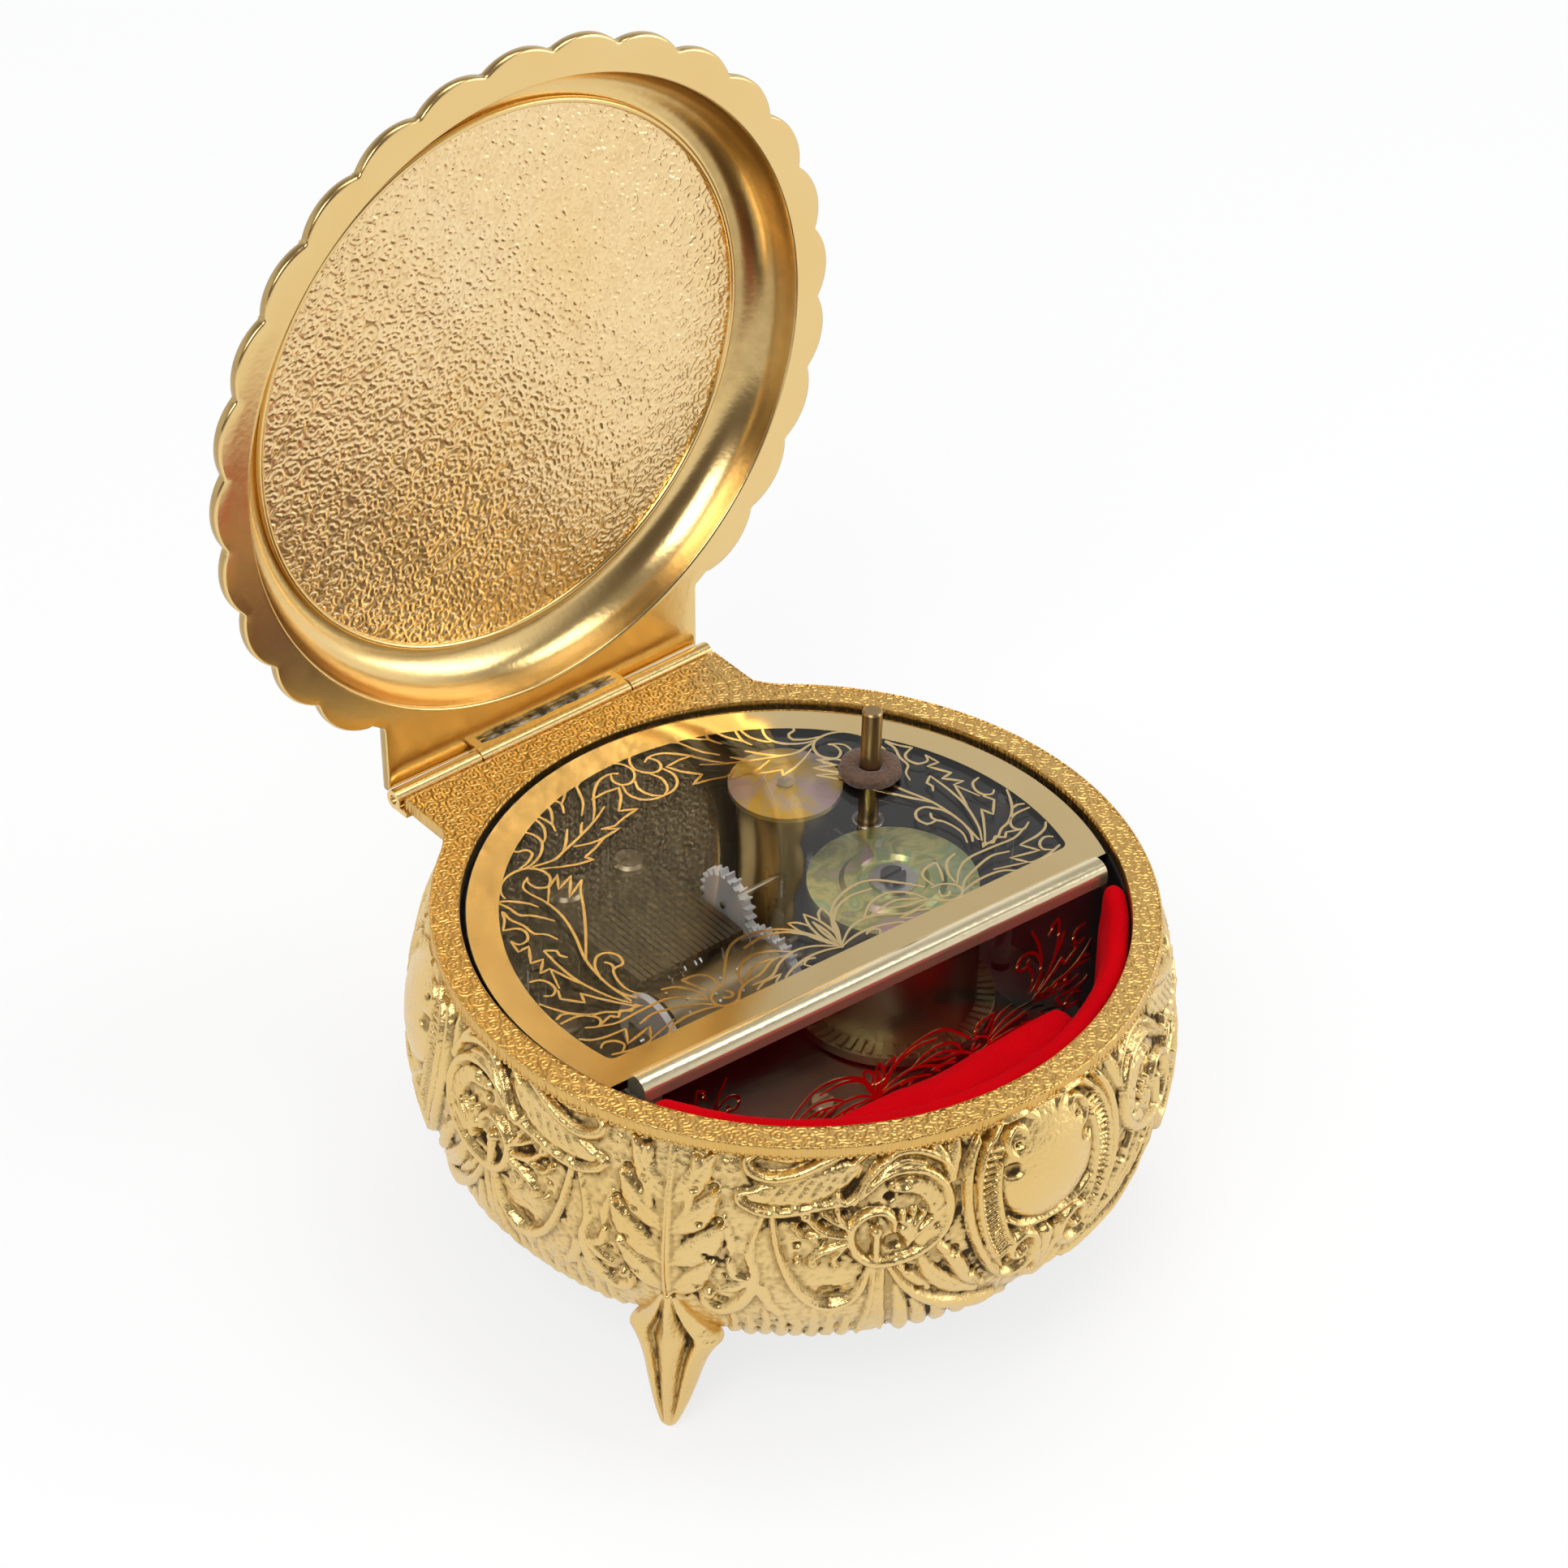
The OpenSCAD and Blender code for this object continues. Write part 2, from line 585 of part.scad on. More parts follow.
module lid_knuckle() color("gold") lid_closed() difference() {
    union() {
        translate([-mid_knuckle / 2, hinge_y, hinge_z]) rotate([0, 90, 0])
            cylinder(d = knuckle_d, h = mid_knuckle);
        translate([-mid_knuckle / 2, edge_y, hinge_z + 0.2])
            cube([mid_knuckle, hinge_y - edge_y, lid_bottom + 1.2 - hinge_z - 0.2]);
    }
    translate([-mid_knuckle, hinge_y, hinge_z]) rotate([0, 90, 0])
        cylinder(d = pin_d + 0.08, h = 2 * mid_knuckle);
}

module spring_drum() color("darkkhaki") translate([drum_x, drum_y, 0]) difference() {
    union() {
        translate([0, 0, drum_z]) cylinder(r = drum_r, h = drum_top - drum_z - 0.8);
        translate([0, 0, drum_z]) cylinder(r = flange_r, h = flange_t - 0.6, $fn = 96);
        for (i = [0 : drum_teeth - 1]) rotate([0, 0, i * 360 / drum_teeth])
            translate([drum_r - e, -0.42, drum_z + flange_t - 0.61])
                cube([flange_r - drum_r - 0.2, 0.84, 0.6]);
    }
    translate([0, 0, drum_z + 1]) cylinder(r = drum_r - 0.8, h = drum_h);
    translate([0, 0, drum_z - 1]) cylinder(d = arbor_d + 0.12, h = drum_h);
}

module drum_cover() color("yellowgreen") translate([drum_x, drum_y, 0]) difference() {
    union() {
        translate([0, 0, drum_top - 0.8]) cylinder(r = drum_r, h = 0.8);
        translate([0, 0, drum_top - e]) rotate_extrude() translate([drum_r * 0.5, 0])
            polygon([[-1.6, 0], [-1, 0.7], [0.9, 0.7], [1.7, 0]]);
    }
    translate([0, 0, drum_top - 1]) cylinder(d = arbor_d + 0.12, h = 3);
}

// point on the mainspring's spiral, o millimetres outside its inner face
function spiral(i, o) =
    let (a = i * 360 / spring_step, r0 = arbor_d / 2 + 1.2, r1 = drum_r - 1.6,
        r = r0 + (r1 - r0) * i / (spring_turns * spring_step) + o)
    [r * cos(a), r * sin(a)];

module mainspring() color("slategray") translate([drum_x, drum_y, drum_z + 1.8])
    linear_extrude(drum_h - 5) polygon(concat(
        [for (i = [0 : spring_turns * spring_step]) spiral(i, 0)],
        [for (i = [spring_turns * spring_step : -1 : 0]) spiral(i, 0.45)]));

module winding_arbor() color("dimgray") translate([drum_x, drum_y, 0]) difference() {
    translate([0, 0, base_z - 4.4]) cylinder(d = arbor_d, h = drum_top + 1.4 - base_z + 4.4);
    translate([-arbor_d, -0.35, drum_top + 0.8]) cube([2 * arbor_d, 0.7, 2]);
}

module arbor_washer() color("silver") translate([drum_x, drum_y, drum_top + 0.06]) difference() {
    cylinder(d = arbor_d + 3.4, h = 0.5);
    translate([0, 0, -e]) cylinder(d = arbor_d, h = 1);
}

module winding_key() color("silver") translate([drum_x, drum_y, base_z - 1.2]) {
    difference() {
        union() {
            translate([0, 0, -7]) cylinder(d = 7, h = 7);
            translate([-key_w / 2, -0.7, -7 - key_h]) cube([key_w, 1.4, key_h]);
            for (s = [-1, 1]) translate([s * key_w / 2, 0.7, -7 - key_h / 2])
                rotate([90, 0, 0]) cylinder(d = key_h, h = 1.4);
            translate([0, 0, -9]) cylinder(d1 = 3, d2 = 7, h = 2 + e);
        }
        translate([0, 0, -3.2]) cylinder(d = arbor_d, h = 4);
    }
}

module cylinder_solid() color("peru") translate([cyl_x - cyl_len, cyl_y, cyl_z])
    rotate([0, 90, 0]) difference() {
    cylinder(r = cyl_r, h = cyl_len);
    translate([0, 0, 1]) cylinder(r = cyl_r - 0.9, h = cyl_len - 2);
    translate([0, 0, -1]) cylinder(d = 1.5, h = cyl_len + 2);
}

module cylinder_pins() color("silver") for (i = [0 : notes - 1], j = [0 : 3])
    let (a = (i * 67 + j * 97 + i * j * 13) % 360)
    translate([comb_x + (i + 0.5) * comb_w / notes, cyl_y, cyl_z]) rotate([a, 0, 0])
    translate([0, 0, cyl_r - e]) cylinder(d = 0.42, h = pin_out, $fn = 14);

module cylinder_arbor() color("silver") translate([cyl_x - cyl_len - 4, cyl_y, cyl_z]) rotate([0, 90, 0])
    cylinder(d = 1.5, h = cyl_len + 4 + pinion_x - cyl_x + 2.6);

module cylinder_wheel() color("white") translate([wheel_x, cyl_y, cyl_z]) rotate([0, 90, 0])
    linear_extrude(wheel_t) difference() {
        gear2d(wheel_teeth, gear_m);
        circle(d = 1.5);
    }

module cylinder_pinion() color("gold") translate([pinion_x, cyl_y, cyl_z]) rotate([0, 90, 0])
    linear_extrude(1.6) difference() {
        rotate(9) gear2d(10, pinion_r / 5.85);
        circle(d = 1.5);
    }

module end_disc() color("white") translate([cyl_x - cyl_len - 2.1, cyl_y, cyl_z])
    rotate([0, 90, 0]) difference() {
    union() {
        cylinder(r = cyl_r + 0.5, h = 1.2);
        translate([0, 0, 1.2 - e]) cylinder(r = 2, h = 0.8);
    }
    translate([0, 0, -1]) cylinder(d = 1.5, h = 5);
}

module second_arbor() color("silver") translate([wheel_x - 0.6, second_y, second_z]) rotate([0, 90, 0])
    cylinder(d = 1.2, h = gov_x + 8.3 - wheel_x + 0.6);

module second_wheel() color("white") translate([wheel_x - 0.2, second_y, second_z]) rotate([0, 90, 0])
    linear_extrude(wheel_t + 0.3) difference() {
        rotate(mesh_turn) gear2d(second_teeth, gear_m);
        circle(d = 1.2);
    }

module worm_wheel() color("white") translate([gov_x - 0.8, second_y, second_z]) rotate([0, 90, 0])
    linear_extrude(1.6) difference() {
        gear2d(16, worm_wheel_r / 8.85, 0.1);
        circle(d = 1.2);
    }

module fly_shaft() color("gray") translate([gov_x, gov_y, 0]) {
    translate([0, 0, bed_top - 1.2]) cylinder(d = 1, h = cap_z - 0.15 - bed_top + 1.2);
    translate([0, 0, second_z - 3.2]) cylinder(r = worm_r, h = 6.4);
}

module fly_blades() color("whitesmoke") translate([gov_x, gov_y, second_z + worm_wheel_r + 1.4]) {
    bl_h = cap_z - 2.4 - second_z - worm_wheel_r - 1.4;
    difference() {
        union() {
            cylinder(d = 2.4, h = bl_h);
            translate([-can_d / 2 + 1.1, -0.3, 0]) cube([can_d - 2.2, 0.6, bl_h]);
        }
        translate([0, 0, -1]) cylinder(d = 1, h = bl_h + 2);
    }
}

module stop_rod() color("peru") translate([rod_x, rod_y, rod_low]) {
    cylinder(d = rod_d, h = rim_z + rod_up - rod_low - 0.3);
    translate([0, 0, rim_z + rod_up - rod_low - 0.3 - e]) cylinder(d1 = rod_d, d2 = rod_d - 0.6, h = 0.3 + e);
}

module rod_collar() color("silver") translate([rod_x, rod_y, collar_z]) difference() {
    cylinder(d = rod_d + 2.4, h = 1);
    translate([0, 0, -e]) cylinder(d = rod_d, h = 2);
}

module stop_lever() color("silver") {
    translate([rod_x - 1.2, rod_y - 2, lever_z - 0.8]) cube([1.6, lever_y - rod_y + 2, 0.8]);
    translate([rod_x - 2.9, lever_y, lever_z]) rotate([0, 90, 0]) cylinder(d = 1.1, h = 5);
    translate([rod_x - 1.9, lever_y, lever_z]) rotate([0, 90, 0]) cylinder(d = 2.2, h = 3);
}

case_shell();
feet();
base_plate();
base_screws();
hinge_knuckles();
hinge_pin();
insert_window();
insert_ridge();
insert_wall();
insert_posts();
lining_wall();
lining_floor();
lining_pad();
felt_washer();
bed();
bed_screws();
comb();
comb_base();
comb_screws();
cylinder_bearings();
train_bearings();
governor_frame();
governor_can();
can_cap();
cap_rivet();
rod_guide();
rod_spring();
lever_bracket();
lid_shell();
lid_panel();
lid_bead();
lid_knuckle();
spring_drum();
drum_cover();
mainspring();
winding_arbor();
arbor_washer();
winding_key();
cylinder_solid();  // cylinder
cylinder_pins();
cylinder_arbor();
cylinder_wheel();
cylinder_pinion();
end_disc();
second_arbor();
second_wheel();
worm_wheel();
fly_shaft();
fly_blades();
stop_rod();
rod_collar();
stop_lever();
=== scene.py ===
import math
import bmesh
import bpy
import numpy as np
from mathutils import Matrix, Vector


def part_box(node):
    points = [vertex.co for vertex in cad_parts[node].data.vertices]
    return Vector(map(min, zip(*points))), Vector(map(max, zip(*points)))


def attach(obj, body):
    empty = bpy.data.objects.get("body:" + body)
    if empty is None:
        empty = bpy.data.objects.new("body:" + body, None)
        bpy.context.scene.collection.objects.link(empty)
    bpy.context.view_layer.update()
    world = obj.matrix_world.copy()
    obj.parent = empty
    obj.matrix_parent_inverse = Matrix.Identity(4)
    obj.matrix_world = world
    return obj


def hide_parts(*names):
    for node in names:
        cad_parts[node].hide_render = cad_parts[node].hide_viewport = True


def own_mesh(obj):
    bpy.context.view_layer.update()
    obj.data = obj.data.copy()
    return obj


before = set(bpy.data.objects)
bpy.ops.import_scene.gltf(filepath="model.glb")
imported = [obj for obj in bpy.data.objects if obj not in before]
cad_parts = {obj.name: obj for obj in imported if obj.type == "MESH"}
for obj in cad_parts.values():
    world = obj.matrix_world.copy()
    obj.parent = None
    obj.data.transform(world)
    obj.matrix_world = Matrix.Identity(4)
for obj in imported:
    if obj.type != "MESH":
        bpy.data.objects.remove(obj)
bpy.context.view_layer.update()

MM = 0.001

# ---------------------------------------------------------------- gilt case
# The case is one zinc casting, plated pale gold and toned dark in its hollows.
# Its side carries scrolls, leaves and three shields; it is drawn here in thirds
# that meet on the ridges of the leaves above the feet.
rim_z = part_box("case_shell")[1][2] / MM
case_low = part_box("case_shell")[0][2] / MM
open_r = 50.0
rim_r = 54.6
foot_at = [-148.7, -31.3, 90.0]
half_turn = 58.7
side_deep = 40.0
side_depth = [1.0, 2.2, 4, 8, 12, 16, 20, 24, 28, 32, 36, 38.5, side_deep]
side_r = [53.9, 53.7, 54.5, 55.7, 56.5, 57.0, 57.2, 57.0, 56.4, 55.3, 53.5, 51.8, 50.1]
cell = 0.2


def smooth_line(points, gap=0.15):
    """Points along a smooth curve through the given ones, each row [u, v, ...]."""
    p = np.array(points, float)
    p = np.vstack([2 * p[0] - p[1], p, 2 * p[-1] - p[-2]])
    out = []
    for a, b, c, d in zip(p[:-3], p[1:-2], p[2:-1], p[3:]):
        n = max(2, int(np.hypot(*(c - b)[:2]) / gap))
        t = (np.arange(n) / n)[:, None]
        out.append(0.5 * (2 * b + (c - a) * t + (2 * a - 5 * b + 4 * c - d) * t ** 2
                          + (3 * b - a - 3 * c + d) * t ** 3))
    return np.vstack(out + [p[-2:-1]])


def chase(field, points, width, height, shape="round", origin=(0, 0), step=cell):
    """Raises one tapered stroke on a height field; width is half the stroke's width."""
    n = len(points)
    w = np.full(n, width, float) if np.isscalar(width) else np.array(width, float)
    h = np.full(n, height, float) if np.isscalar(height) else np.array(height, float)
    line = smooth_line(np.column_stack([points, w, h]))
    rows, cols = field.shape
    for u, v, wide, high in line:
        wide = max(wide, 0.15)
        i0 = max(0, int((v - wide - origin[1]) / step))
        i1 = min(rows, int((v + wide - origin[1]) / step) + 2)
        j0 = max(0, int((u - wide - origin[0]) / step))
        j1 = min(cols, int((u + wide - origin[0]) / step) + 2)
        if i0 >= i1 or j0 >= j1:
            continue
        y = (np.arange(i0, i1) * step + origin[1] - v)[:, None]
        x = (np.arange(j0, j1) * step + origin[0] - u)[None]
        d = np.sqrt(x * x + y * y) / wide
        if shape == "round":
            p = np.sqrt(np.clip(1 - d * d, 0, 1))
        elif shape == "ridge":
            p = np.clip(1 - d, 0, 1)
        else:
            p = np.clip((1 - d) * 2.5, 0, 1)
        part = field[i0:i1, j0:j1]
        np.maximum(part, high * p, out=part)


def soften(field, size):
    """A height field blurred over about size cells."""
    k = np.exp(-0.5 * (np.arange(-3 * size, 3 * size + 1) / size) ** 2)
    k /= k.sum()
    pad = len(k) // 2
    f = np.pad(field, pad, mode="edge")
    f = np.apply_along_axis(np.convolve, 0, f, k, "valid")
    return np.apply_along_axis(np.convolve, 1, f, k, "valid")


def side_ornament():
    """Height in mm over half a repeat: u runs from a foot to a shield, v down from the rim."""
    drawn_high, drawn_wide = 39, 64
    field = np.zeros((int(drawn_high / cell) + 1, int(drawn_wide / cell) + 1))
    cut = np.zeros_like(field)

    def up(points, width, height, shape="round"):
        chase(field, points, width, height, shape)

    def knob(u, v, r, h):
        chase(field, [(u - 0.01, v), (u + 0.01, v)], r, h)

    def hole(u, v, r, h=0.8):
        chase(cut, [(u - 0.15 * r, v), (u + 0.15 * r, v)], r, h)

    def line(points, h=0.25):
        chase(cut, points, 0.22, h, "ridge")

    # acanthus leaf over the foot: a ridge with four lobes a side
    up([(0, 1.2), (0.1, 12), (0.2, 22), (0.3, 31)], [1.0, 0.9, 0.8, 0.6], [0.7, 0.95, 1.1, 1.1], "ridge")
    up([(0, 1), (0, 31)], [3.4, 2.2], [0.35, 0.3], "flat")
    for base, tip, w, h in ((11.5, (6.2, 3.2), 1.9, 0.75), (17, (7.2, 8.8), 2.0, 0.85),
                            (23, (8.2, 14.2), 2.2, 0.9), (29.5, (7.0, 20.8), 1.7, 0.8)):
        knee = (tip[0] - 2.2, tip[1] + 3.4)
        up([(0.3, base), (tip[0] * 0.45, base - 2.8), knee, tip],
           [0.5, w, w * 0.95, 0.55], [0.4, h, h, h * 1.15])
        line([(0.6, base - 0.8), (tip[0] * 0.5, base - 3.6), (tip[0] - 1, tip[1] + 1.6)])
        hole(tip[0] - 2.4, tip[1] + 5.2, 0.55, 0.6)
        hole(tip[0] - 0.6, tip[1] - 0.9, 0.7, 0.6)
    up([(3.7, 4.3), (3.5, 9), (1.9, 15.2)], [0.85, 0.8, 0.4], [0.95, 0.95, 0.5])
    # small scroll beside the leaf's foot
    up([(11.7, 18.3), (12.9, 22), (12.4, 26), (10.6, 29.3), (8.0, 31.0), (5.8, 30.0), (5.5, 28)],
       [0.5, 0.75, 0.95, 1.05, 0.95, 0.8, 0.55], [0.4, 0.7, 0.9, 1, 1, 0.95, 0.9])
    knob(6.5, 27.4, 0.9, 1.15)
    up([(8.2, 26.0), (10.4, 25.2), (12.1, 23.6)], [0.4, 0.9, 0.5], 0.75)
    up([(9.3, 20.0), (10, 22.6), (11.8, 23.2)], [0.5, 0.8, 0.4], 0.85)
    hole(8.9, 23.4, 0.6)
    hole(8.3, 28.7, 0.7)
    up([(8.4, 12.5), (9.4, 16.5), (9.6, 19)], [0.3, 0.7, 0.3], 0.45)
    # wing of the big scroll, under the rim
    up([(27, 4.4), (22, 6.4), (17, 7.7), (12.4, 8.4)], [1.5, 2.7, 2.5, 1.2], [0.5, 0.65, 0.65, 0.65], "flat")
    up([(27.6, 1.7), (23, 3.1), (19, 4.7), (15, 5.5), (12, 4.8), (11.1, 3.3), (12.2, 2.5)],
       [0.4, 0.7, 0.85, 0.85, 0.85, 0.75, 0.5], [0.7, 1.0, 1.2, 1.3, 1.2, 1.1, 0.9])
    up([(26.6, 9.2), (22.5, 9.7), (18.8, 10.5), (14.5, 11), (11, 9.9), (10.1, 8.6), (11.4, 7.9)],
       [0.5, 0.65, 0.75, 0.7, 0.65, 0.55, 0.4], [0.8, 0.9, 1, 1, 1, 0.9, 0.7])
    for u, v in ((15.6, 10.6), (18.6, 10.2), (21.6, 9.7), (24.6, 9.2)):
        knob(u, v, 0.95, 1.0)
    up([(24.6, 8.1), (25.5, 9.4), (27, 8.7), (28.4, 7.2)], [0.4, 0.55, 0.55, 0.4], 1.1)
    for k in range(7):
        line([(14.5 + 1.9 * k, 9.4 - 0.28 * k), (16.6 + 1.9 * k, 6.5 - 0.36 * k)], 0.3)
    up([(13.5, 2.5), (18, 2.7), (23, 1.6)], [0.4, 0.6, 0.4], 0.5)
    # big scroll: a broad curling band with a fan of fingers inside
    up([(33, 7.7), (37, 8.3), (39.2, 11), (39.2, 14.5), (36.8, 17.2)],
       [0.8, 1.6, 1.7, 1.7, 1.2], 0.8, "flat")
    up([(28.7, 8.0), (31, 6.2), (34.2, 5.3), (38, 6.1), (40.7, 8.8), (41.4, 12.5), (40.3, 16), (37.5, 18.7),
        (34, 20), (30, 20.1), (27.5, 18.2), (26.5, 15.2), (27.1, 12.7), (29, 11.3), (31.2, 11.3),
        (32.7, 12.8), (32.9, 14.7)],
       [0.5, 0.6, 0.7, 0.8, 0.8, 0.8, 0.85, 0.9, 0.9, 0.8, 0.8, 0.75, 0.75, 0.75, 0.7, 0.65, 0.4],
       [0.9, 1.1, 1.2, 1.3, 1.3, 1.3, 1.2, 1.2, 1.2, 1.2, 1.3, 1.3, 1.35, 1.35, 1.3, 1.2, 1])
    for k in range(6):
        a = math.radians(-62 + 24 * k)
        line([(36.4 + 2.2 * math.cos(a), 12.2 + 3.4 * math.sin(a)),
              (36.9 + 3.6 * math.cos(a - 0.3), 12.0 + 5.2 * math.sin(a - 0.3))], 0.22)
    for u, v in ((34.2, 12.0), (35.8, 11.8), (37.3, 12.5), (38.3, 14.0)):
        up([(34.6, 17.6), ((u + 34.6) / 2 - 0.3, (v + 17.6) / 2), (u, v)], [0.35, 0.6, 0.5], 1.0)
        hole(u + 0.9, v + 0.9, 0.45, 0.7)
    hole(33.0, 16.9, 1.5, 1.0)
    hole(33.8, 13.9, 0.5, 0.8)
    hole(29.9, 12.9, 0.8, 0.8)
    knob(30.3, 14.7, 0.95, 1.15)
    up([(30.3, 15.4), (30.2, 20)], [0.65, 0.75], 1.0)
    up([(26.9, 9.5), (29, 6.2), (31.5, 3.9), (34.5, 2.7), (38, 3.3), (41, 5.3), (42.1, 8)],
       [0.4, 0.6, 0.7, 0.7, 0.7, 0.6, 0.4], 1.1)
    up([(27.6, 9.1), (30, 7.1), (32, 5.1), (34.8, 4.1), (38, 4.9)], [0.3, 0.45, 0.5, 0.5, 0.3], 0.9)
    up([(26.8, 3.8), (29.6, 2.1), (34, 1.5), (38.5, 2.0)], [0.4, 0.6, 0.6, 0.4], 0.9)
    hole(31.6, 3.2, 0.8, 0.7)
    hole(34.3, 7.3, 1.0, 0.6)
    hole(32.2, 9.3, 0.8, 0.7)
    up([(41.8, 8.4), (41.0, 5), (39.5, 1.8)], [0.4, 0.9, 0.5], 0.8)
    up([(42.0, 8.4), (42.7, 5), (43.4, 1.8)], [0.4, 1.1, 0.6], 0.85)
    hole(41.2, 2.6, 0.5, 0.6)
    # stalk below the eye of the scroll
    up([(30.7, 20), (30.8, 28), (30.9, 37)], [0.9, 1.2, 1.9], 0.35, "flat")
    up([(30.0, 20.2), (30.0, 28), (29.2, 36.5)], [0.4, 0.4, 0.5], 0.75)
    up([(31.3, 20.2), (31.6, 28), (32.7, 36)], [0.4, 0.4, 0.5], 0.75)
    # bowl with sprigs
    up([(15.2, 11.3), (15.9, 16), (17.3, 21), (19.4, 25.3), (22.2, 28), (25, 28.3), (27.8, 26.2),
        (29.2, 22), (29.6, 20.2)], [0.4, 0.55, 0.65, 0.8, 0.9, 0.9, 0.7, 0.5, 0.4],
       [0.8, 1, 1.1, 1.25, 1.35, 1.35, 1.1, 0.8, 0.5])
    hole(23.8, 26.2, 1.8, 0.35)
    for stem, w in (([(26.3, 15), (23, 14.2), (20.4, 11.9)], 0.6),
                    ([(26.9, 14.4), (25.2, 12.2), (24.5, 10.4)], 0.5),
                    ([(25.8, 16.1), (22.6, 17.4), (20.9, 18.8)], 0.6),
                    ([(25.8, 16.4), (24.2, 18.6), (24.5, 20)], 0.5),
                    ([(23, 14.4), (19.8, 14.7), (18.5, 13.2)], 0.45),
                    ([(26, 13.6), (23.6, 11.8), (22.4, 10.9)], 0.4)):
        up(stem, [w * 0.7, w, w * 0.8], 1.0)
    for u, v, r in ((20.1, 11.3, 0.95), (21.2, 19.4, 0.85), (19.1, 19.1, 0.65), (18.4, 13, 0.6),
                    (24.5, 20.1, 0.55)):
        knob(u, v, r, 1.2)
    for u, v, r in ((22.6, 12.6, 0.7), (19.6, 13.0, 0.5), (25.6, 11.2, 0.5), (22.7, 15.8, 0.6),
                    (18.9, 16.4, 0.6)):
        hole(u, v, r, 0.7)
    up([(13.9, 11.6), (12.4, 17.5), (13, 23.5), (14.9, 28.5), (16.8, 31.6)], [0.3, 0.5, 0.6, 0.6, 0.4], 0.6)
    up([(14.3, 24.4), (15.1, 29), (16.9, 31)], [0.4, 0.9, 0.5], 0.5)
    # sweeping leaves under the shield's side
    up([(31.8, 20.4), (34.2, 25), (37.8, 29.3), (42.5, 32.6), (48.5, 34.6), (51.5, 34.8)],
       [0.4, 0.65, 0.9, 1.1, 1.0, 0.5], [0.9, 1.1, 1.35, 1.45, 1.3, 0.9])
    up([(36.8, 20.4), (38.8, 24.5), (42.5, 28.5), (47, 31.5)], [0.5, 1.3, 1.5, 0.6], [0.7, 0.85, 0.9, 0.6])
    up([(39.4, 18.6), (42.2, 22.5), (44.6, 27), (48.3, 31)], [0.5, 1.2, 1.2, 0.5], [0.8, 1.05, 1.1, 0.7])
    up([(33.6, 21.5), (35.6, 24.2), (38.5, 27.4)], [0.4, 0.9, 0.5], 0.8)
    line([(37.4, 21.6), (39.6, 25), (43.6, 28.8)])
    line([(40.2, 19.8), (42.9, 23.6), (46, 28.4)])
    for u, v, r in ((42.2, 20.9, 0.8), (35.3, 22.6, 0.6), (45.6, 26.3, 0.7), (47.3, 29.2, 0.8),
                    (37.2, 26.9, 0.6)):
        hole(u, v, r, 0.9)
    # hem of leaf tips
    for k in range(9):
        u = 9.6 + 2.45 * k
        if abs(u - 30.7) > 1.6:
            top = 31.4 + 1.6 * math.sin(k * 2.1)
            up([(u, top), (u + 0.3, 35), (u - 0.2, 37.6)], [0.3, 0.8, 1.2], [0.3, 0.5, 0.65])
            hole(u + 1.2, 34.9 + 0.5 * math.sin(k * 1.7), 0.45, 0.45)
    for u, v, s in ((33.6, 26, 5), (36.6, 30, 6), (40.4, 33, 6), (44.6, 35, 6), (49, 36, 6), (53, 35.5, 5)):
        up([(u, v), (u + s * 0.28, (v + 38) / 2), (u + s * 0.62, 38.2)], [0.4, 1.1, 1.3], [0.4, 0.75, 0.95])
    # shield: a plain boss between ribbed bands and four curls
    up([(50, 1.2), (46.5, 4), (44.7, 8), (44.3, 13), (45, 18), (46.8, 23), (49.4, 28), (52, 31)],
       [0.5, 0.75, 0.85, 0.85, 0.85, 0.85, 0.75, 0.4], 1.1)
    up([(50.4, 3), (47.7, 5.5), (46.3, 9), (46, 13), (46.5, 17.5), (47.8, 22), (50, 26.6)], 0.55, 1.35)
    band = smooth_line([(49.5, 5.2), (48.1, 9), (47.7, 13), (48.3, 18), (49.6, 22.5), (51, 25.6)], 0.82)
    for (u, v), (du, dv) in zip(band[1:-1], band[2:] - band[:-2]):
        size = math.hypot(du, dv)
        nu, nv = dv / size, -du / size
        up([(u - 1.4 * nu, v - 1.4 * nv + 0.35), (u + 1.4 * nu, v + 1.4 * nv - 0.35)], 0.34, 1.0)
    up([(49.7, 8.4), (49.2, 12), (49.5, 16), (50.4, 20), (51.8, 22.8)], 0.5, 1.3)
    up([(48.9, 4.2), (51, 2.2), (53.8, 1.7), (56.2, 3.2), (56.9, 5.6), (55.8, 7.9), (53.4, 8.6), (51.4, 7.3),
        (51.2, 5.2), (52.7, 3.9), (54.2, 4.6), (54.2, 6)],
       [0.5, 0.7, 0.85, 0.95, 0.95, 0.95, 0.85, 0.75, 0.7, 0.65, 0.6, 0.5], 1.6)
    up([(49.2, 27), (51.6, 29.8), (54.6, 29.4), (56.4, 27), (56, 24), (53.8, 22.4), (51.9, 23.6),
        (51.9, 25.8), (53.4, 26.6), (54.3, 25.4)],
       [0.5, 0.75, 0.9, 0.9, 0.9, 0.8, 0.7, 0.65, 0.6, 0.5], 1.5)
    for u, v, r in ((51.6, 10, 1.3), (53, 6.5, 0.5), (50.9, 28.2, 0.8), (57.4, 23.4, 0.9), (47.8, 3.4, 0.9)):
        hole(u, v, r, 0.9)
    y = np.arange(field.shape[0])[:, None] * cell
    x = np.arange(field.shape[1])[None] * cell
    boss = 1 - ((x - half_turn) / 9.0) ** 2 - ((y - 12.0) / np.where(y < 12, 11.5, 8.8)) ** 2
    np.maximum(field, 2.1 * np.sqrt(np.clip(boss, 0, 1)) * (boss > 0), out=field)
    up([(50.9, 18.6), (53, 20.3), (56, 21.1), (58.7, 21.2)], 0.45, 1.1)
    up([(half_turn, 33), (half_turn, 25)], [0.6, 1.3], [0.9, 1.2])
    for s, t in ((2.2, 26.5), (3.6, 30.5)):
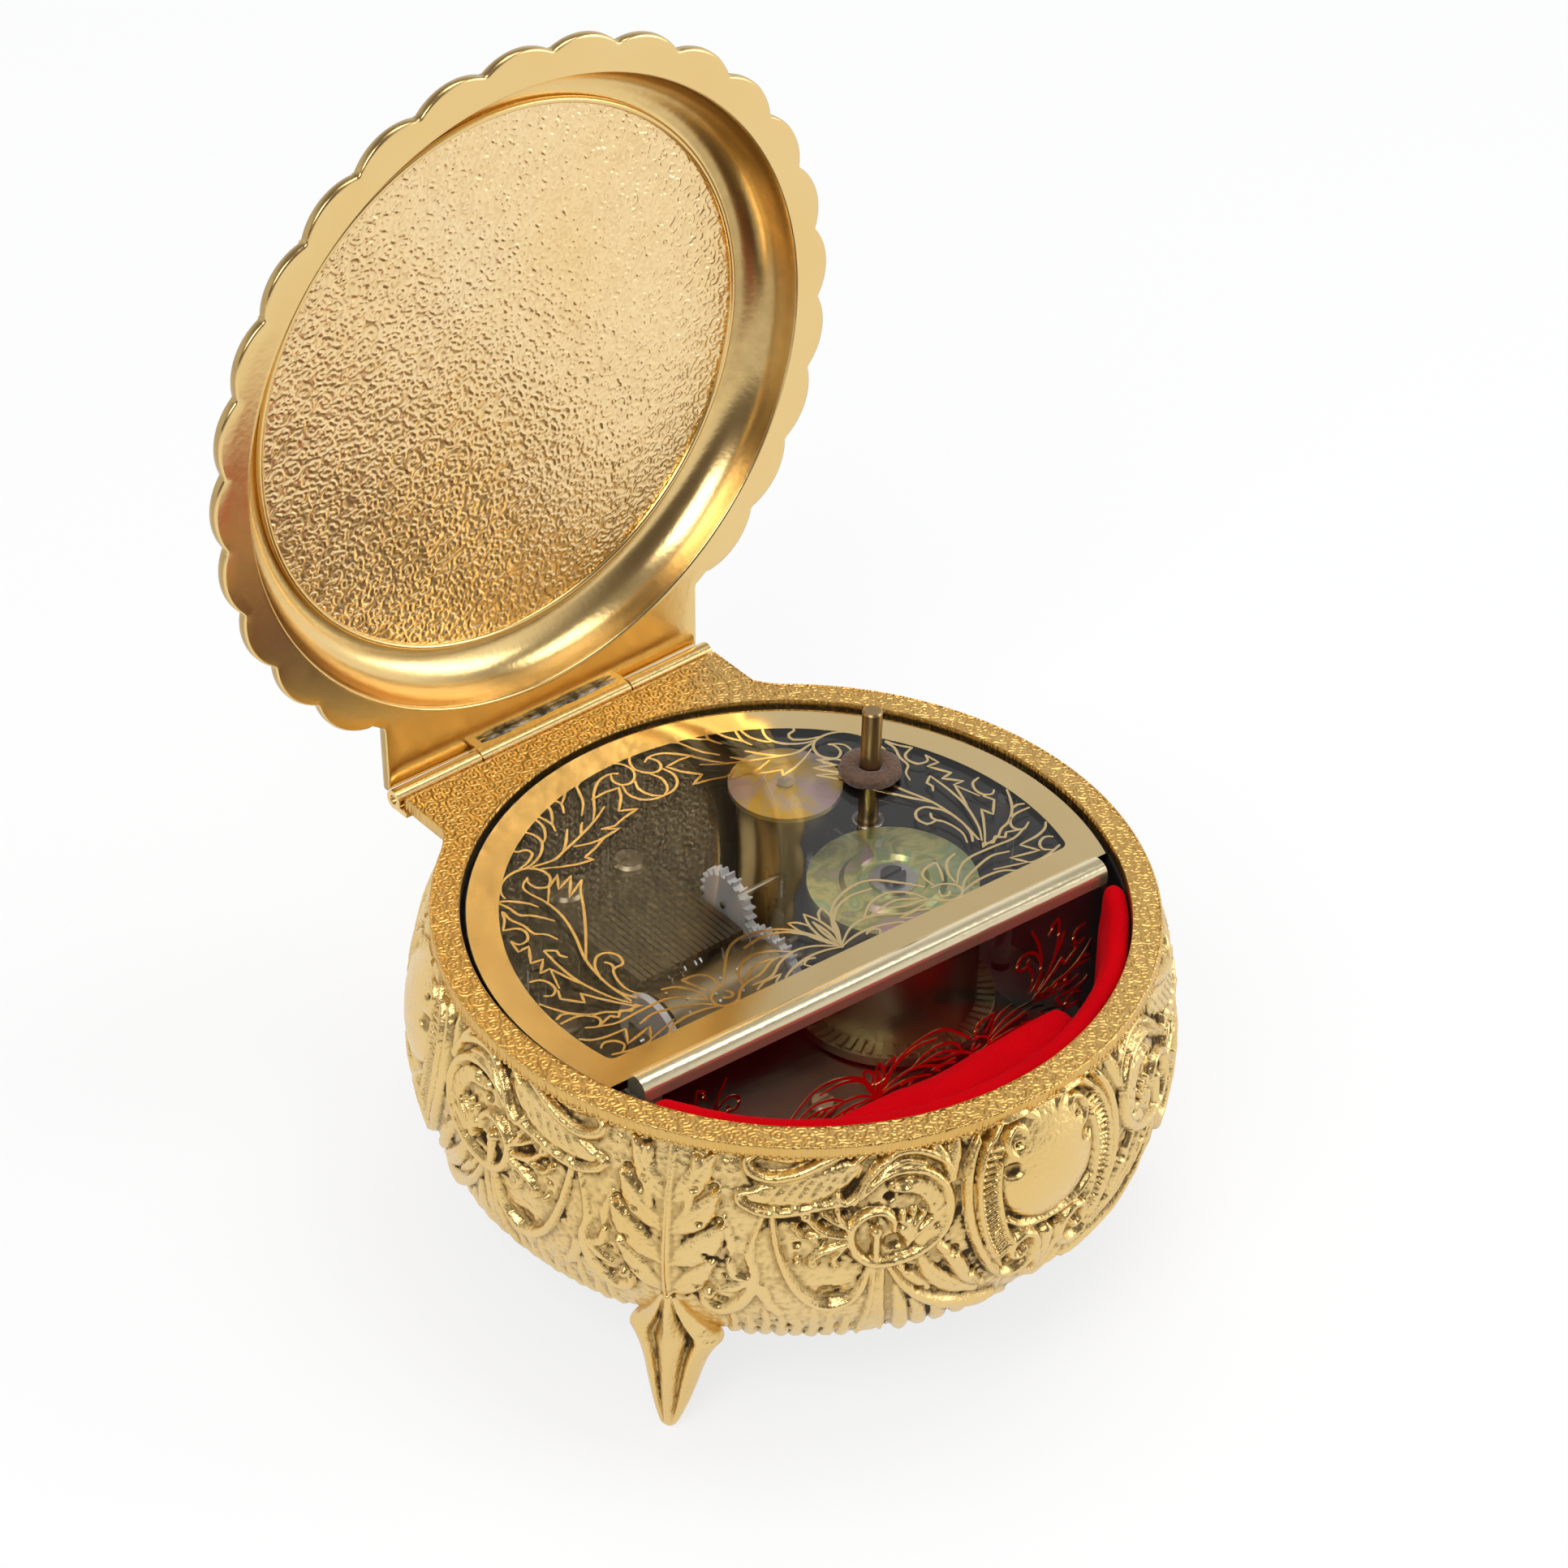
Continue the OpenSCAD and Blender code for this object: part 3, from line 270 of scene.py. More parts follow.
        up([(half_turn, 33.5), (half_turn - s * 0.7, t + 2), (half_turn - s, t)], [0.4, 1.0, 0.6], 1.1)
    # the sand of the mould leaves its grain, most of all on the low ground
    rng = np.random.default_rng(8)
    grain = soften(rng.normal(size=field.shape), 1) * 0.16 + soften(rng.normal(size=field.shape), 3) * 0.42
    return field - cut + grain * np.interp(field, [0, 0.7, 1.2], [1.0, 0.45, 0.2])


def crevices(relief):
    """0 on what stands out and 1 in the hollows, from the relief's own shape."""
    near = soften(relief, 3) - relief
    wide = soften(relief, 9) - relief
    return np.clip(near * 2.2 + wide * 1.2 + 0.15, 0, 1)


def put(name, data):
    """A new object in the scene, for a mesh, a lamp or a camera."""
    piece = bpy.data.objects.new(name, data)
    bpy.context.collection.objects.link(piece)
    return piece


def point_values(mesh, name, values):
    """Stores one number at each point of a mesh."""
    layer = mesh.attributes.new(name, "FLOAT", "POINT")
    layer.data.foreach_set("value", np.asarray(values, np.float32).reshape(-1))


def shell(name, rings, materials, loop=False, ends=True, hollow=None, row_material=None, flat=False):
    """A mesh through a grid of points in mm, rings[i][j]; a loop joins the last ring to the first."""
    rings = np.asarray(rings, float)
    m, n = rings.shape[:2]
    index = np.arange(m * n).reshape(m, n)
    upper = index if loop else index[:-1]
    lower = np.roll(index, -1, 0) if loop else index[1:]
    if not ends:
        a, b, c, d = upper, np.roll(upper, -1, 1), np.roll(lower, -1, 1), lower
    else:
        a, b, c, d = upper[:, :-1], upper[:, 1:], lower[:, 1:], lower[:, :-1]
    quads = np.stack([a, b, c, d], -1).reshape(-1, 4)
    faces = [tuple(q) for q in quads.tolist()]
    if ends and loop:
        faces.append(tuple(index[:, 0].tolist()))
        faces.append(tuple(index[::-1, -1].tolist()))
    mesh = bpy.data.meshes.new(name)
    mesh.from_pydata((rings.reshape(-1, 3) * MM).tolist(), [], faces)
    if hollow is not None:
        point_values(mesh, "hollow", hollow)
    for made in materials:
        mesh.materials.append(made)
    if row_material is not None:
        per_row = quads.shape[0] // upper.shape[0]
        slots = np.repeat(np.asarray(row_material)[:upper.shape[0]], per_row)
        slots = np.concatenate([slots, np.zeros(len(faces) - len(quads), int)])
        mesh.polygons.foreach_set("material_index", slots.astype(np.int32))
    if flat:
        mesh.shade_flat()
    else:
        mesh.shade_smooth()
    return put(name, mesh)


def ring_at(radius, z, turned):
    """Points at a radius and a height, for each of the angles in radians."""
    return np.stack(np.broadcast_arrays(radius * np.cos(turned), radius * np.sin(turned), z), -1)


def give(node, *terms, **values):
    """Sets a node's settings by name, and its inputs in order or by name.

    An input takes a fixed value, or is joined to another node's output.
    """
    for key in [key for key in values if hasattr(node, key)]:
        setattr(node, key, values.pop(key))
    named = [(node.inputs[key.replace("_", " ")], value) for key, value in values.items()]
    for socket, value in [*zip(node.inputs, terms), *named]:
        if isinstance(value, bpy.types.NodeSocket):
            node.id_data.links.new(value, socket)
        else:
            socket.default_value = value
    return node


def adder(tree):
    """A short way to add nodes to a tree, each set as it is added."""
    def add(kind, *terms, **values):
        return give(tree.nodes.new(kind), *terms, **values)

    return add


def finish_paint(name, rough, metal=1.0):
    """A new material, its surface, its way to add nodes, and where a point lies on the piece."""
    made = bpy.data.materials.new(name)
    made.use_nodes = True
    surface = give(made.node_tree.nodes["Principled BSDF"], Roughness=rough, Metallic=metal)
    add = adder(made.node_tree)
    return made, surface, add, add("ShaderNodeTexCoord").outputs["Object"]


def work_out(add, operation, *terms):
    """The result of a Math node."""
    return add("ShaderNodeMath", *terms, operation=operation).outputs[0]


def noise(add, place, scale, detail, **more):
    """Cloudy noise from 0 to 1."""
    return add("ShaderNodeTexNoise", Vector=place, Scale=scale, Detail=detail, **more).outputs["Fac"]


def scaled(add, value, start=0.0, end=1.0, low=0.0, high=1.0, kind="LINEAR"):
    """A value moved from the range start to end onto the range low to high."""
    return add("ShaderNodeMapRange", interpolation_type=kind, Value=value, From_Min=start, From_Max=end,
               To_Min=low, To_Max=high).outputs[0]


def blend(add, share, low, high):
    """A colour between two others; the low one may be another node's output."""
    low = (*low, 1) if isinstance(low, tuple) else low
    return add("ShaderNodeMix", data_type="RGBA", Factor=share, A=low, B=(*high, 1)).outputs["Result"]


def bumped(add, height, strength, distance, **more):
    """A normal raised by a height."""
    return add("ShaderNodeBump", Height=height, Strength=strength, Distance=distance,
               **more).outputs["Normal"]


def curl_lines(add, place, second, scale):
    """Embossed curls: each patch of the metal winds one line round its own middle."""
    split = add("ShaderNodeSeparateXYZ", place).outputs
    flat = add("ShaderNodeCombineXYZ", X=split["X"], Y=split[second]).outputs[0]
    stir = noise(add, flat, scale * 1.3, 1.0)
    patch = add("ShaderNodeTexVoronoi", voronoi_dimensions="2D", Vector=flat, Scale=scale,
                Randomness=0.85).outputs
    offset = add("ShaderNodeVectorMath", flat, patch["Position"], operation="SUBTRACT").outputs[0]
    away = add("ShaderNodeSeparateXYZ", offset).outputs
    turn = work_out(add, "ARCTAN2", away["Y"], away["X"])
    tint = add("ShaderNodeSeparateColor", patch["Color"]).outputs[0]
    left_hand = work_out(add, "GREATER_THAN", tint, 0.5)
    hand = work_out(add, "MULTIPLY_ADD", left_hand, 2.0, -1.0)
    wound = work_out(add, "MULTIPLY_ADD", patch["Distance"], 17.0, work_out(add, "MULTIPLY", turn, hand))
    return work_out(add, "SINE", work_out(add, "MULTIPLY_ADD", stir, 7.0, wound))


def gilt(name, gold=(0.77, 0.51, 0.165), worn=(0.82, 0.62, 0.30), toned=(0.075, 0.045, 0.02),
         grain=0.5, rough=0.21, spots=1.6, curls=None):
    """Plated casting: pale gold where it is rubbed, brown-grey tone where the relief is low. The darkening
    it reads is patina, and on the lid also painted shade and a painted reflection.
    """
    made, surface, add, place = finish_paint(name, rough)
    low = add("ShaderNodeAttribute", attribute_name="hollow").outputs["Fac"]
    blotch = noise(add, place, 330.0, 6.0, Roughness=0.65)
    patch = noise(add, place, 190.0, 4.0, Roughness=0.6)
    depth = work_out(add, "MULTIPLY_ADD", blotch, 0.6, low)
    lined_depth = depth
    embossed = {}
    if curls:
        second, scale, height, lined = curls
        lines = curl_lines(add, place, second, scale)
        lined_depth = work_out(add, "MULTIPLY_ADD", lines, -lined, depth)
        embossed["Normal"] = bumped(add, lines, height, 0.0001)
    stain_and_shade = scaled(add, lined_depth, 0.5, 1.3, high=0.75, kind="SMOOTHSTEP")
    deepest = work_out(add, "MULTIPLY_ADD", patch, spots, depth)
    dark = scaled(add, deepest, 1.98, 2.25, kind="SMOOTHSTEP")
    rubbed = blend(add, noise(add, place, 45.0, 2.0), gold, worn)
    half_toned = tuple(0.4 * g + 0.6 * t for g, t in zip(gold, toned))
    stained_and_shaded = blend(add, stain_and_shade, rubbed, half_toned)
    rougher = scaled(add, dark, low=rough, high=0.6)
    pits = noise(add, place, 1100.0, 4.0)
    give(surface, Base_Color=blend(add, dark, stained_and_shaded, toned),
         Roughness=work_out(add, "MULTIPLY_ADD", blotch, 0.12, rougher),
         Normal=bumped(add, pits, grain, 0.0004, **embossed))
    return made


gilt_cast = gilt("gilt_casting")
inside_dark, surface, add, place = finish_paint("case_inside", 0.55, 0.0)
cloud = noise(add, place, 500.0, 4.0)
give(surface, Base_Color=blend(add, cloud, (0.035, 0.036, 0.04), (0.06, 0.06, 0.065)))

ornament = side_ornament()
hollows = crevices(ornament)


def sample(field, u, v):
    """The height field's value at u, v in mm."""
    x = np.clip(u / cell, 0, field.shape[1] - 1.001)
    y = np.clip(v / cell, 0, field.shape[0] - 1.001)
    i, j = y.astype(int), x.astype(int)
    fy, fx = y - i, x - j
    return ((field[i, j] * (1 - fx) + field[i, j + 1] * fx) * (1 - fy)
            + (field[i + 1, j] * (1 - fx) + field[i + 1, j + 1] * fx) * fy)


def case_third(name, start, end):
    """One third of the case between two feet, as a closed wall."""
    middle = (start + end) / 2
    angles = np.linspace(start, end, 470)
    turned = np.radians(angles)
    depth = np.concatenate([np.linspace(1.0, 34, 150), np.linspace(34.2, side_deep, 24)])
    u = (1 - np.abs(angles - middle) / ((end - start) / 2)) * half_turn
    v = np.interp(depth, [0, 33, side_deep], [0, 33, 37.6])
    uu, vv = np.meshgrid(u, v)
    edge = np.clip((side_deep - depth) / 1.2, 0, 1)[:, None] * np.clip((depth - 0.9) / 0.8, 0, 1)[:, None]
    height = sample(ornament, uu, vv) * edge
    low = sample(hollows, uu, vv)
    slope = np.gradient(np.interp(depth, side_depth, side_r), depth)
    out = height / np.sqrt(1 + slope * slope)[:, None]
    radius = np.interp(depth, side_depth, side_r)[:, None] + out
    z = rim_z - depth[:, None] + out * slope[:, None]
    hem = np.clip((depth - 37) / 3, 0, 1)[:, None]
    z = np.maximum(z, case_low + 0.02) + hem * 0.5 * (1 + np.cos(uu / 4.9 * 2 * math.pi)) * 0.32
    inner = [(50.3, case_low + 0.6), (48.7, case_low + 0.9), (48.7, case_low + 5), (51.5, case_low + 6.5),
             (54.4, case_low + 14), (54.8, case_low + 22), (53.0, case_low + 32), (50.05, rim_z - 3.4),
             (50.05, rim_z - 1.0)]
    inside = np.stack([ring_at(r, level, turned) for r, level in inner])
    rings = np.concatenate([ring_at(radius, z, turned), inside])[:, ::-1]
    low = np.vstack([low, np.full((len(inner), len(angles)), 0.4)])[:, ::-1]
    slots = np.where(np.arange(len(rings)) < len(depth) + 1, 0, 1)
    slots[-1] = 0
    third = shell(name, rings, (gilt_cast, inside_dark), loop=True, hollow=low, row_material=slots)
    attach(third, "case")
    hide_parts("case_shell")


for name, start, end in (("case_front", foot_at[0], foot_at[1]), ("case_right", foot_at[1], foot_at[2]),
                         ("case_left", foot_at[2] - 360, foot_at[0])):
    case_third(name, start, end)

# ---------------------------------------------------------------- feet
# Three pointed feet are cast with the case. Each runs down from the tip of a leaf
# to a small blunt toe, with a ridge down its front and a groove on either side.
foot_top = 27.5
foot_z = [0.0, 0.4, 1.2, 3, 5, 7, 9, 11, 13, 14.5, 16, 17.2, 18.5, 20, 22, 24.5, foot_top]
foot_half = [0.6, 1.0, 1.45, 2.15, 2.85, 3.4, 3.9, 4.4, 5.0, 5.6, 6.4, 7.2, 6.5, 5.2, 3.9, 2.6, 1.2]
foot_deep = [0.6, 1.0, 1.35, 1.8, 2.3, 2.7, 3.0, 3.3, 3.5, 3.6, 3.6, 3.5, 3.2, 2.7, 2.2, 1.7, 1.0]
foot_out = [55.0, 55.5, 55.9, 56.0, 56.0, 56.0, 56.0, 55.9, 55.8, 55.7, 55.5, 55.3, 55.2, 55.4,
            55.9, 56.5, 56.7]


def face_outwards(piece, merge=0.0):
    """Turns a closed shape's faces outwards, after joining doubled points where asked."""
    work = bmesh.new()
    work.from_mesh(piece.data)
    if merge:
        bmesh.ops.remove_doubles(work, verts=work.verts, dist=merge)
    bmesh.ops.recalc_face_normals(work, faces=work.faces)
    work.to_mesh(piece.data)
    work.free()


def foot(name, angle):
    """One pointed foot, its front turned to an angle round the case."""
    level = np.concatenate([np.linspace(0, 2, 8), np.linspace(2.3, foot_top, 76)])
    turn = np.linspace(-math.pi, math.pi, 120, endpoint=False)
    half = np.interp(level, foot_z, foot_half)[:, None]
    deep = np.interp(level, foot_z, foot_deep)[:, None]
    mid = np.interp(level, foot_z, foot_out)[:, None] - deep
    fade = np.clip(level / 4, 0.1, 1)[:, None] * np.clip((foot_top - level) / 7, 0, 1)[:, None]
    side = np.sin(turn)[None]
    tongue = 0.95 * np.exp(-(side / 0.16) ** 2) - 0.75 * np.exp(-((np.abs(side) - 0.36) / 0.11) ** 2)
    tongue = tongue + 0.35 * np.exp(-((np.abs(side) - 0.62) / 0.16) ** 2)
    front = np.clip(np.cos(turn), 0, 1)[None] ** 0.5
    out = fade * tongue * front * (0.3 + 0.06 * level[:, None])
    flat = np.sign(np.cos(turn)) * np.abs(np.cos(turn)) ** 0.8
    x = mid + deep * flat[None] + out
    y = half * np.sign(side) * np.abs(side) ** 0.9
    a = math.radians(angle)
    points = np.stack([x * math.cos(a) - y * math.sin(a), x * math.sin(a) + y * math.cos(a),
                       np.broadcast_to(level[:, None], x.shape)], -1)
    bottom = np.repeat(points[:1].mean(1, keepdims=True), points.shape[1], 1)
    top = np.repeat(points[-1:].mean(1, keepdims=True), points.shape[1], 1)
    low = np.clip(-out * 1.6 + 0.25, 0, 1)
    low = np.vstack([low[:1], low, low[-1:]])
    made = shell(name, np.concatenate([bottom, points, top])[:, ::-1], (gilt_cast,), ends=False,
                 hollow=low[:, ::-1])
    face_outwards(made, 1e-6)
    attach(made, "case")
    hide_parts("feet")


for side, angle in zip(("front_left", "front_right", "back"), foot_at):
    foot("foot_" + side, angle)

# ---------------------------------------------------------------- rim and hinge shelf
# The flat rim round the opening widens at the back into a shelf for the hinge.
# Fine curls are chased into its top, and a row of small beads runs under its lip.
rim_t = 2.2
shelf_half = 30.4
shelf_y = 56.2
hinge_y = 58.5
hinge_z = 55.9
fine_cell = 0.1
rim_span = 66


def curl_field(size, inside, pitch, seed, high):
    """A square height field of curls and small commas, scattered where inside(x, y) holds."""
    rng = np.random.default_rng(seed)
    cells = int(2 * size / fine_cell) + 1
    field = np.zeros((cells, cells))

    def stroke(points, width):
        chase(field, points, width, high, origin=(-size, -size), step=fine_cell)

    for k, row in enumerate(np.arange(-size, size, pitch * 0.8)):
        for spot in np.arange(-size, size, pitch):
            x, y = np.array([spot + (k % 2) * pitch / 2, row]) + rng.uniform(-0.16, 0.16, 2) * pitch
            turn, hand, wind = rng.uniform(0, 6.28), rng.choice([-1, 1]), rng.uniform(4.0, 7.4)
            reach, comma = pitch * rng.uniform(0.30, 0.46), rng.uniform(0, 6.28, 3)
            if not inside(x, y):
                continue
            t = np.linspace(0, 1, 14)
            r = reach * (0.12 + 0.88 * t)
            a = turn + hand * wind * t
            stroke(np.column_stack([x + r * np.cos(a), y + r * np.sin(a)]), 0.2)
            for b in comma:
                mid = np.array([x + pitch * 0.56 * math.cos(b), y + pitch * 0.56 * math.sin(b)])
                lean = b + 1.2 * hand
                way = np.array([math.cos(lean), math.sin(lean)]) * pitch * 0.17
                side = np.array([-way[1], way[0]]) * 0.5
                stroke([mid - way, mid + side, mid + way], [0.14, 0.22, 0.12])
    return field


def field_at(field, size, x, y):
    """A square field's height at x, y."""
    scale = cell / fine_cell
    return sample(field, (np.asarray(x) + size) * scale, (np.asarray(y) + size) * scale)


def square_back(x, y, back, half):
    """How far out a square back reaches in the way x, y; 0 round the front."""
    return np.where(y > 0.4, np.minimum(back / np.maximum(y, 0.01), half / np.maximum(np.abs(x), 0.01)), 0)


def rim_outline(angle):
    """How far out the rim reaches at an angle, with the shelf at the back."""
    a = np.radians(angle)
    x, y = np.cos(a), np.sin(a)
    off = np.abs((angle - 90 + 180) % 360 - 180)
    flare = np.minimum(rim_r + 3.6 * np.clip((38.5 - off) / 9, 0, 1) ** 2, shelf_y / np.maximum(y, 0.01))
    return np.maximum(np.where(off < 45, flare, rim_r), square_back(x, y, shelf_y, shelf_half + 0.2))


rim_curls = curl_field(rim_span, lambda x, y: 48 < math.hypot(x, y) < 65, 2.3, 5, 0.06)
angles = np.linspace(-180, 180, 1560, endpoint=False)
corner = math.degrees(math.atan2(shelf_y, shelf_half + 0.2))
angles = np.sort(np.concatenate([angles, [corner, 180 - corner]]))
turned = np.radians(angles)
edge_r = rim_outline(angles)
rows, darkening_rows = [], []
for inset, drop in ((0.02, rim_t), (0.0, rim_t - 0.3), (0.0, 0.45), (0.12, 0.16), (0.34, 0.03)):
    rows.append((edge_r - inset, rim_z - drop))
    darkening_rows.append(np.full_like(angles, 0.25))
for share in np.linspace(0, 1, 26):
    r = edge_r - 0.4 + (open_r + 0.42 - edge_r) * share
    fade = np.clip(share * 12, 0, 1) * np.clip((1 - share) * 12, 0, 1)
    raised = field_at(rim_curls, rim_span, r * np.cos(turned), r * np.sin(turned)) * fade
    rows.append((r, rim_z - 0.17 + raised))
    darkening_rows.append(0.5 - 4.0 * raised)
for r, drop in ((open_r + 0.2, 0.05), (open_r + 0.02, 0.3), (open_r + 0.02, rim_t),
                ((edge_r + open_r) / 2, rim_t)):
    rows.append((r, rim_z - drop))
    darkening_rows.append(np.full_like(angles, 0.35))
rings = np.stack([ring_at(r, z, turned) for r, z in rows])
gilt_rim = gilt("gilt_rim", gold=(0.70, 0.41, 0.10), worn=(0.74, 0.49, 0.17), toned=(0.24, 0.13, 0.04),
                grain=0.2, rough=0.26, curls=("Y", 520.0, 0.55, 0.16))
rim = shell("rim", rings, (gilt_rim,), loop=True, ends=False, hollow=np.array(darkening_rows))
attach(rim, "case")


def grow(name, build, values, material):
    """A Geometry Nodes tree with named inputs, evaluated once and kept as a plain mesh."""
    tree = bpy.data.node_groups.new(name, "GeometryNodeTree")
    tree.interface.new_socket("Geometry", in_out="INPUT", socket_type="NodeSocketGeometry")
    tree.interface.new_socket("Geometry", in_out="OUTPUT", socket_type="NodeSocketGeometry")
    sockets = {}
    for label in values:
        made = tree.interface.new_socket(label, in_out="INPUT", socket_type="NodeSocketFloat")
        sockets[label] = made.identifier
    add = adder(tree)
    start = add("NodeGroupInput")
    end = add("NodeGroupOutput")
    real = add("GeometryNodeRealizeInstances", build(add, start.outputs))
    clad = add("GeometryNodeSetMaterial", real.outputs[0], Material=material)
    tree.links.new(clad.outputs[0], end.inputs[0])
    return tree, sockets


def grown_piece(name, tree, sockets, values, base, flat=False):
    """Runs a tree on a base mesh and returns the plain result."""
    holder = put(name + "_base", base)
    modifier = holder.modifiers.new("grow", "NODES")
    modifier.node_group = tree
    for label, value in values.items():
        modifier[sockets[label]] = value
    ready = holder.evaluated_get(bpy.context.evaluated_depsgraph_get())
    mesh = bpy.data.meshes.new_from_object(ready)
    holder.modifiers.clear()
    bpy.data.objects.remove(holder)
    mesh.name = name
    if flat:
        mesh.shade_flat()
    else:
        mesh.shade_smooth()
    return put(name, mesh)


def line_mesh(name, lines, widths=None):
    """A mesh of loose lines in metres, each a list of points, with a width share at each point."""
    points, edges, wide = [], [], []
    for k, line in enumerate(lines):
        first = len(points)
        points += [tuple(p) for p in line]
        edges += [(first + i, first + i + 1) for i in range(len(line) - 1)]
        wide += list(widths[k]) if widths else [1.0] * len(line)
    mesh = bpy.data.meshes.new(name)
    mesh.from_pydata(points, edges, [])
    point_values(mesh, "wide", wide)
    return mesh


def bead_row(add, inputs):
    """Small balls set along every line at an even pitch."""
    line = add("GeometryNodeMeshToCurve", Mesh=inputs["Geometry"])
    spots = add("GeometryNodeResampleCurve", mode="LENGTH", Curve=line.outputs[0], Length=inputs["Pitch"])
    ball = add("GeometryNodeMeshUVSphere", Radius=inputs["Bead radius"], Segments=8, Rings=6)
    beads = add("GeometryNodeInstanceOnPoints", Points=spots.outputs[0], Instance=ball.outputs[0])
    return beads.outputs[0]


bead_r = 0.5
bead_pitch = 1.12
bead_turn = np.radians(np.arange(-231, 52, 0.5))
bead_line = ring_at(rim_r - 0.25, rim_z - rim_t + 0.1, bead_turn) * MM
sizes = {"Pitch": bead_pitch * MM, "Bead radius": bead_r * MM}
tree, sockets = grow("bead_row", bead_row, sizes, gilt_rim)
beads = grown_piece("rim_beads", tree, sockets, sizes, line_mesh("bead_line", [bead_line]))
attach(beads, "case")

# ---------------------------------------------------------------- lid
# The lid is a second gilt casting with a scalloped flange, a smooth polished cove
# and a fine embossed panel inside. Its domed top carries leaves round a rosette.
lid_open = 92.5
lid_bottom = rim_z + 0.15
lid_deep = 8.0
panel_r = 44.6
cove_r = 51.6
trough_r = 56.0
tip_r = 57.7
lobe_step = 12.5
lid_back = 58.2


def stand_open(points):
    """Turns points of the closed lid, in mm, to where they are when it stands open."""
    p = np.asarray(points, float).copy()
    a = math.radians(lid_open)
    y, z = p[..., 1] - hinge_y, p[..., 2] - hinge_z
    p[..., 1] = hinge_y + y * math.cos(a) + z * math.sin(a)
    p[..., 2] = hinge_z - y * math.sin(a) + z * math.cos(a)
    return p


def lid_outline(angle):
    """How far out the scalloped flange reaches at an angle from +X."""
    a = np.radians(angle)
    off = (angle + 90 + 180) % 360 - 180
    nearest = np.clip(np.round(off / lobe_step), -11, 11)
    d = np.radians(off - nearest * lobe_step)
    chord = trough_r * math.sin(math.radians(lobe_step / 2))
    round_part = trough_r * math.cos(math.radians(lobe_step / 2))
    rise = tip_r - round_part
    lobe = (chord * chord + rise * rise) / (2 * rise)
    centre = tip_r - lobe
    inside = np.clip(lobe ** 2 - (centre * np.sin(d)) ** 2, 0, None)
    arc = np.where(np.abs(off - nearest * lobe_step) < 14, centre * np.cos(d) + np.sqrt(inside), 0)
    scallops = np.maximum(np.where(np.abs(off) > 143.75, 0, arc), round_part)
    return np.maximum(scallops, square_back(np.cos(a), np.sin(a), lid_back, shelf_half))


def dome_ornament():
    """Relief of the lid's top: one eighth, as a field of angle 0..22.5 by radius 0..56."""
    field = np.zeros((281, 226))

    def up(points, width, height):
        for mirrored in (False, True):
            drawn = [((22.5 - angle if mirrored else angle) * 2, r) for angle, r in points]
            chase(field, drawn, width, height)

    up([(0, 6.5), (1.5, 8), (4.5, 9.5), (8, 9), (11, 7)], [0.9, 1.6, 2.0, 1.5, 0.8], 1.2)
    up([(0, 12), (0, 22)], [2.0, 0.9], [1.5, 0.8])
    up([(0, 14), (5, 17), (9, 21), (10, 25)], [1.0, 1.8, 1.5, 0.7], [0.8, 1.2, 1.1, 0.6])
    up([(0, 18), (4.5, 22), (7.5, 26), (7.0, 29)], [0.9, 1.5, 1.3, 0.6], [0.8, 1.1, 1.0, 0.6])
    up([(11, 16), (11, 24)], [0.9, 0.6], [0.7, 0.5])
    up([(11, 27), (7.5, 30), (6.0, 33.5), (8.0, 36.2), (10.2, 34.6), (9.4, 32.6)],
       [0.6, 1.0, 1.2, 1.1, 0.9, 0.8], [0.8, 1.1, 1.2, 1.2, 1.2, 1.3])
    up([(0, 26), (2.0, 30), (3.2, 34), (2.0, 38), (0, 40)],
       [0.7, 1.1, 1.3, 1.1, 0.6], [0.8, 1.1, 1.2, 1.0, 0.7])
    up([(11, 38), (7, 39.5), (3.5, 42)], [1.3, 1.1, 0.5], [1.2, 1.0, 0.6])
    up([(0, 44.2), (11.25, 44.2)], 0.7, 0.9)
    for angle in (1.2, 4.0, 6.8, 9.6):
        up([(angle, 47), (angle, 50)], [1.0, 0.6], [0.8, 0.5])
    return soften(field, 1)


dome = dome_ornament()
dome_low = crevices(dome)
back_corners = [math.degrees(math.atan2(lid_back, s * shelf_half)) for s in (1, -1)]
angles = np.sort(np.concatenate([np.linspace(-180, 180, 660, endpoint=False), back_corners]))
turned = np.radians(angles)
flange_r = lid_outline(angles)
fold = np.abs((angles + 360) % 45 - 22.5)
dome_x = np.minimum(fold, 22.5) * 2
rows, darkening_rows = [], []
inner = [(0.0, lid_deep), (44.0, lid_deep), (panel_r + 0.6, lid_deep)]
inner += [(panel_r + 0.6 + 6.2 * math.cos(math.radians(a)), lid_deep * math.sin(math.radians(a)))
          for a in range(84, 5, -6)]
inner += [(cove_r - 0.15, 0.35), (cove_r + 0.05, 0.0), (cove_r + 0.25, 0.06), (cove_r + 0.6, 0.06)]
# The values rise round the right side of the cove and darken it there: a painted dark reflection.
painted_dark_reflection = np.clip(1.5 - np.abs(angles + 12) / 42, 0, 1)
for r, z in inner:
    rows.append((r, lid_bottom + z))
    fillet = 0.55 if cove_r - 0.3 < r < cove_r + 0.1 else 0.0
    in_cove = 0.85 if panel_r + 1.0 < r < cove_r + 0.1 else 0.0
    darkening_rows.append(np.maximum(fillet, in_cove * painted_dark_reflection))
# The flange's outer edge gets high darkening values: painted shade on its side.
for share, z in ((0.5, 0.06), (0.9, 0.04), (0.97, 0.12), (1.0, 0.45), (1.0, 1.25), (0.98, 1.62),
                 (0.92, 1.78)):
    rows.append((cove_r + 0.6 + (flange_r - cove_r - 0.6) * share, lid_bottom + z))
    darkening_rows.append(np.full_like(angles, 0.95 if 0.4 < z < 1.7 else 0.1))
profile_r, profile_z = zip((0, 9.8), (45.2, 9.8), (47.6, 9.3), (49.8, 8.2), (51.6, 6.4), (52.6, 4.2),
                           (53.2, 2.2), (53.6, 1.85))
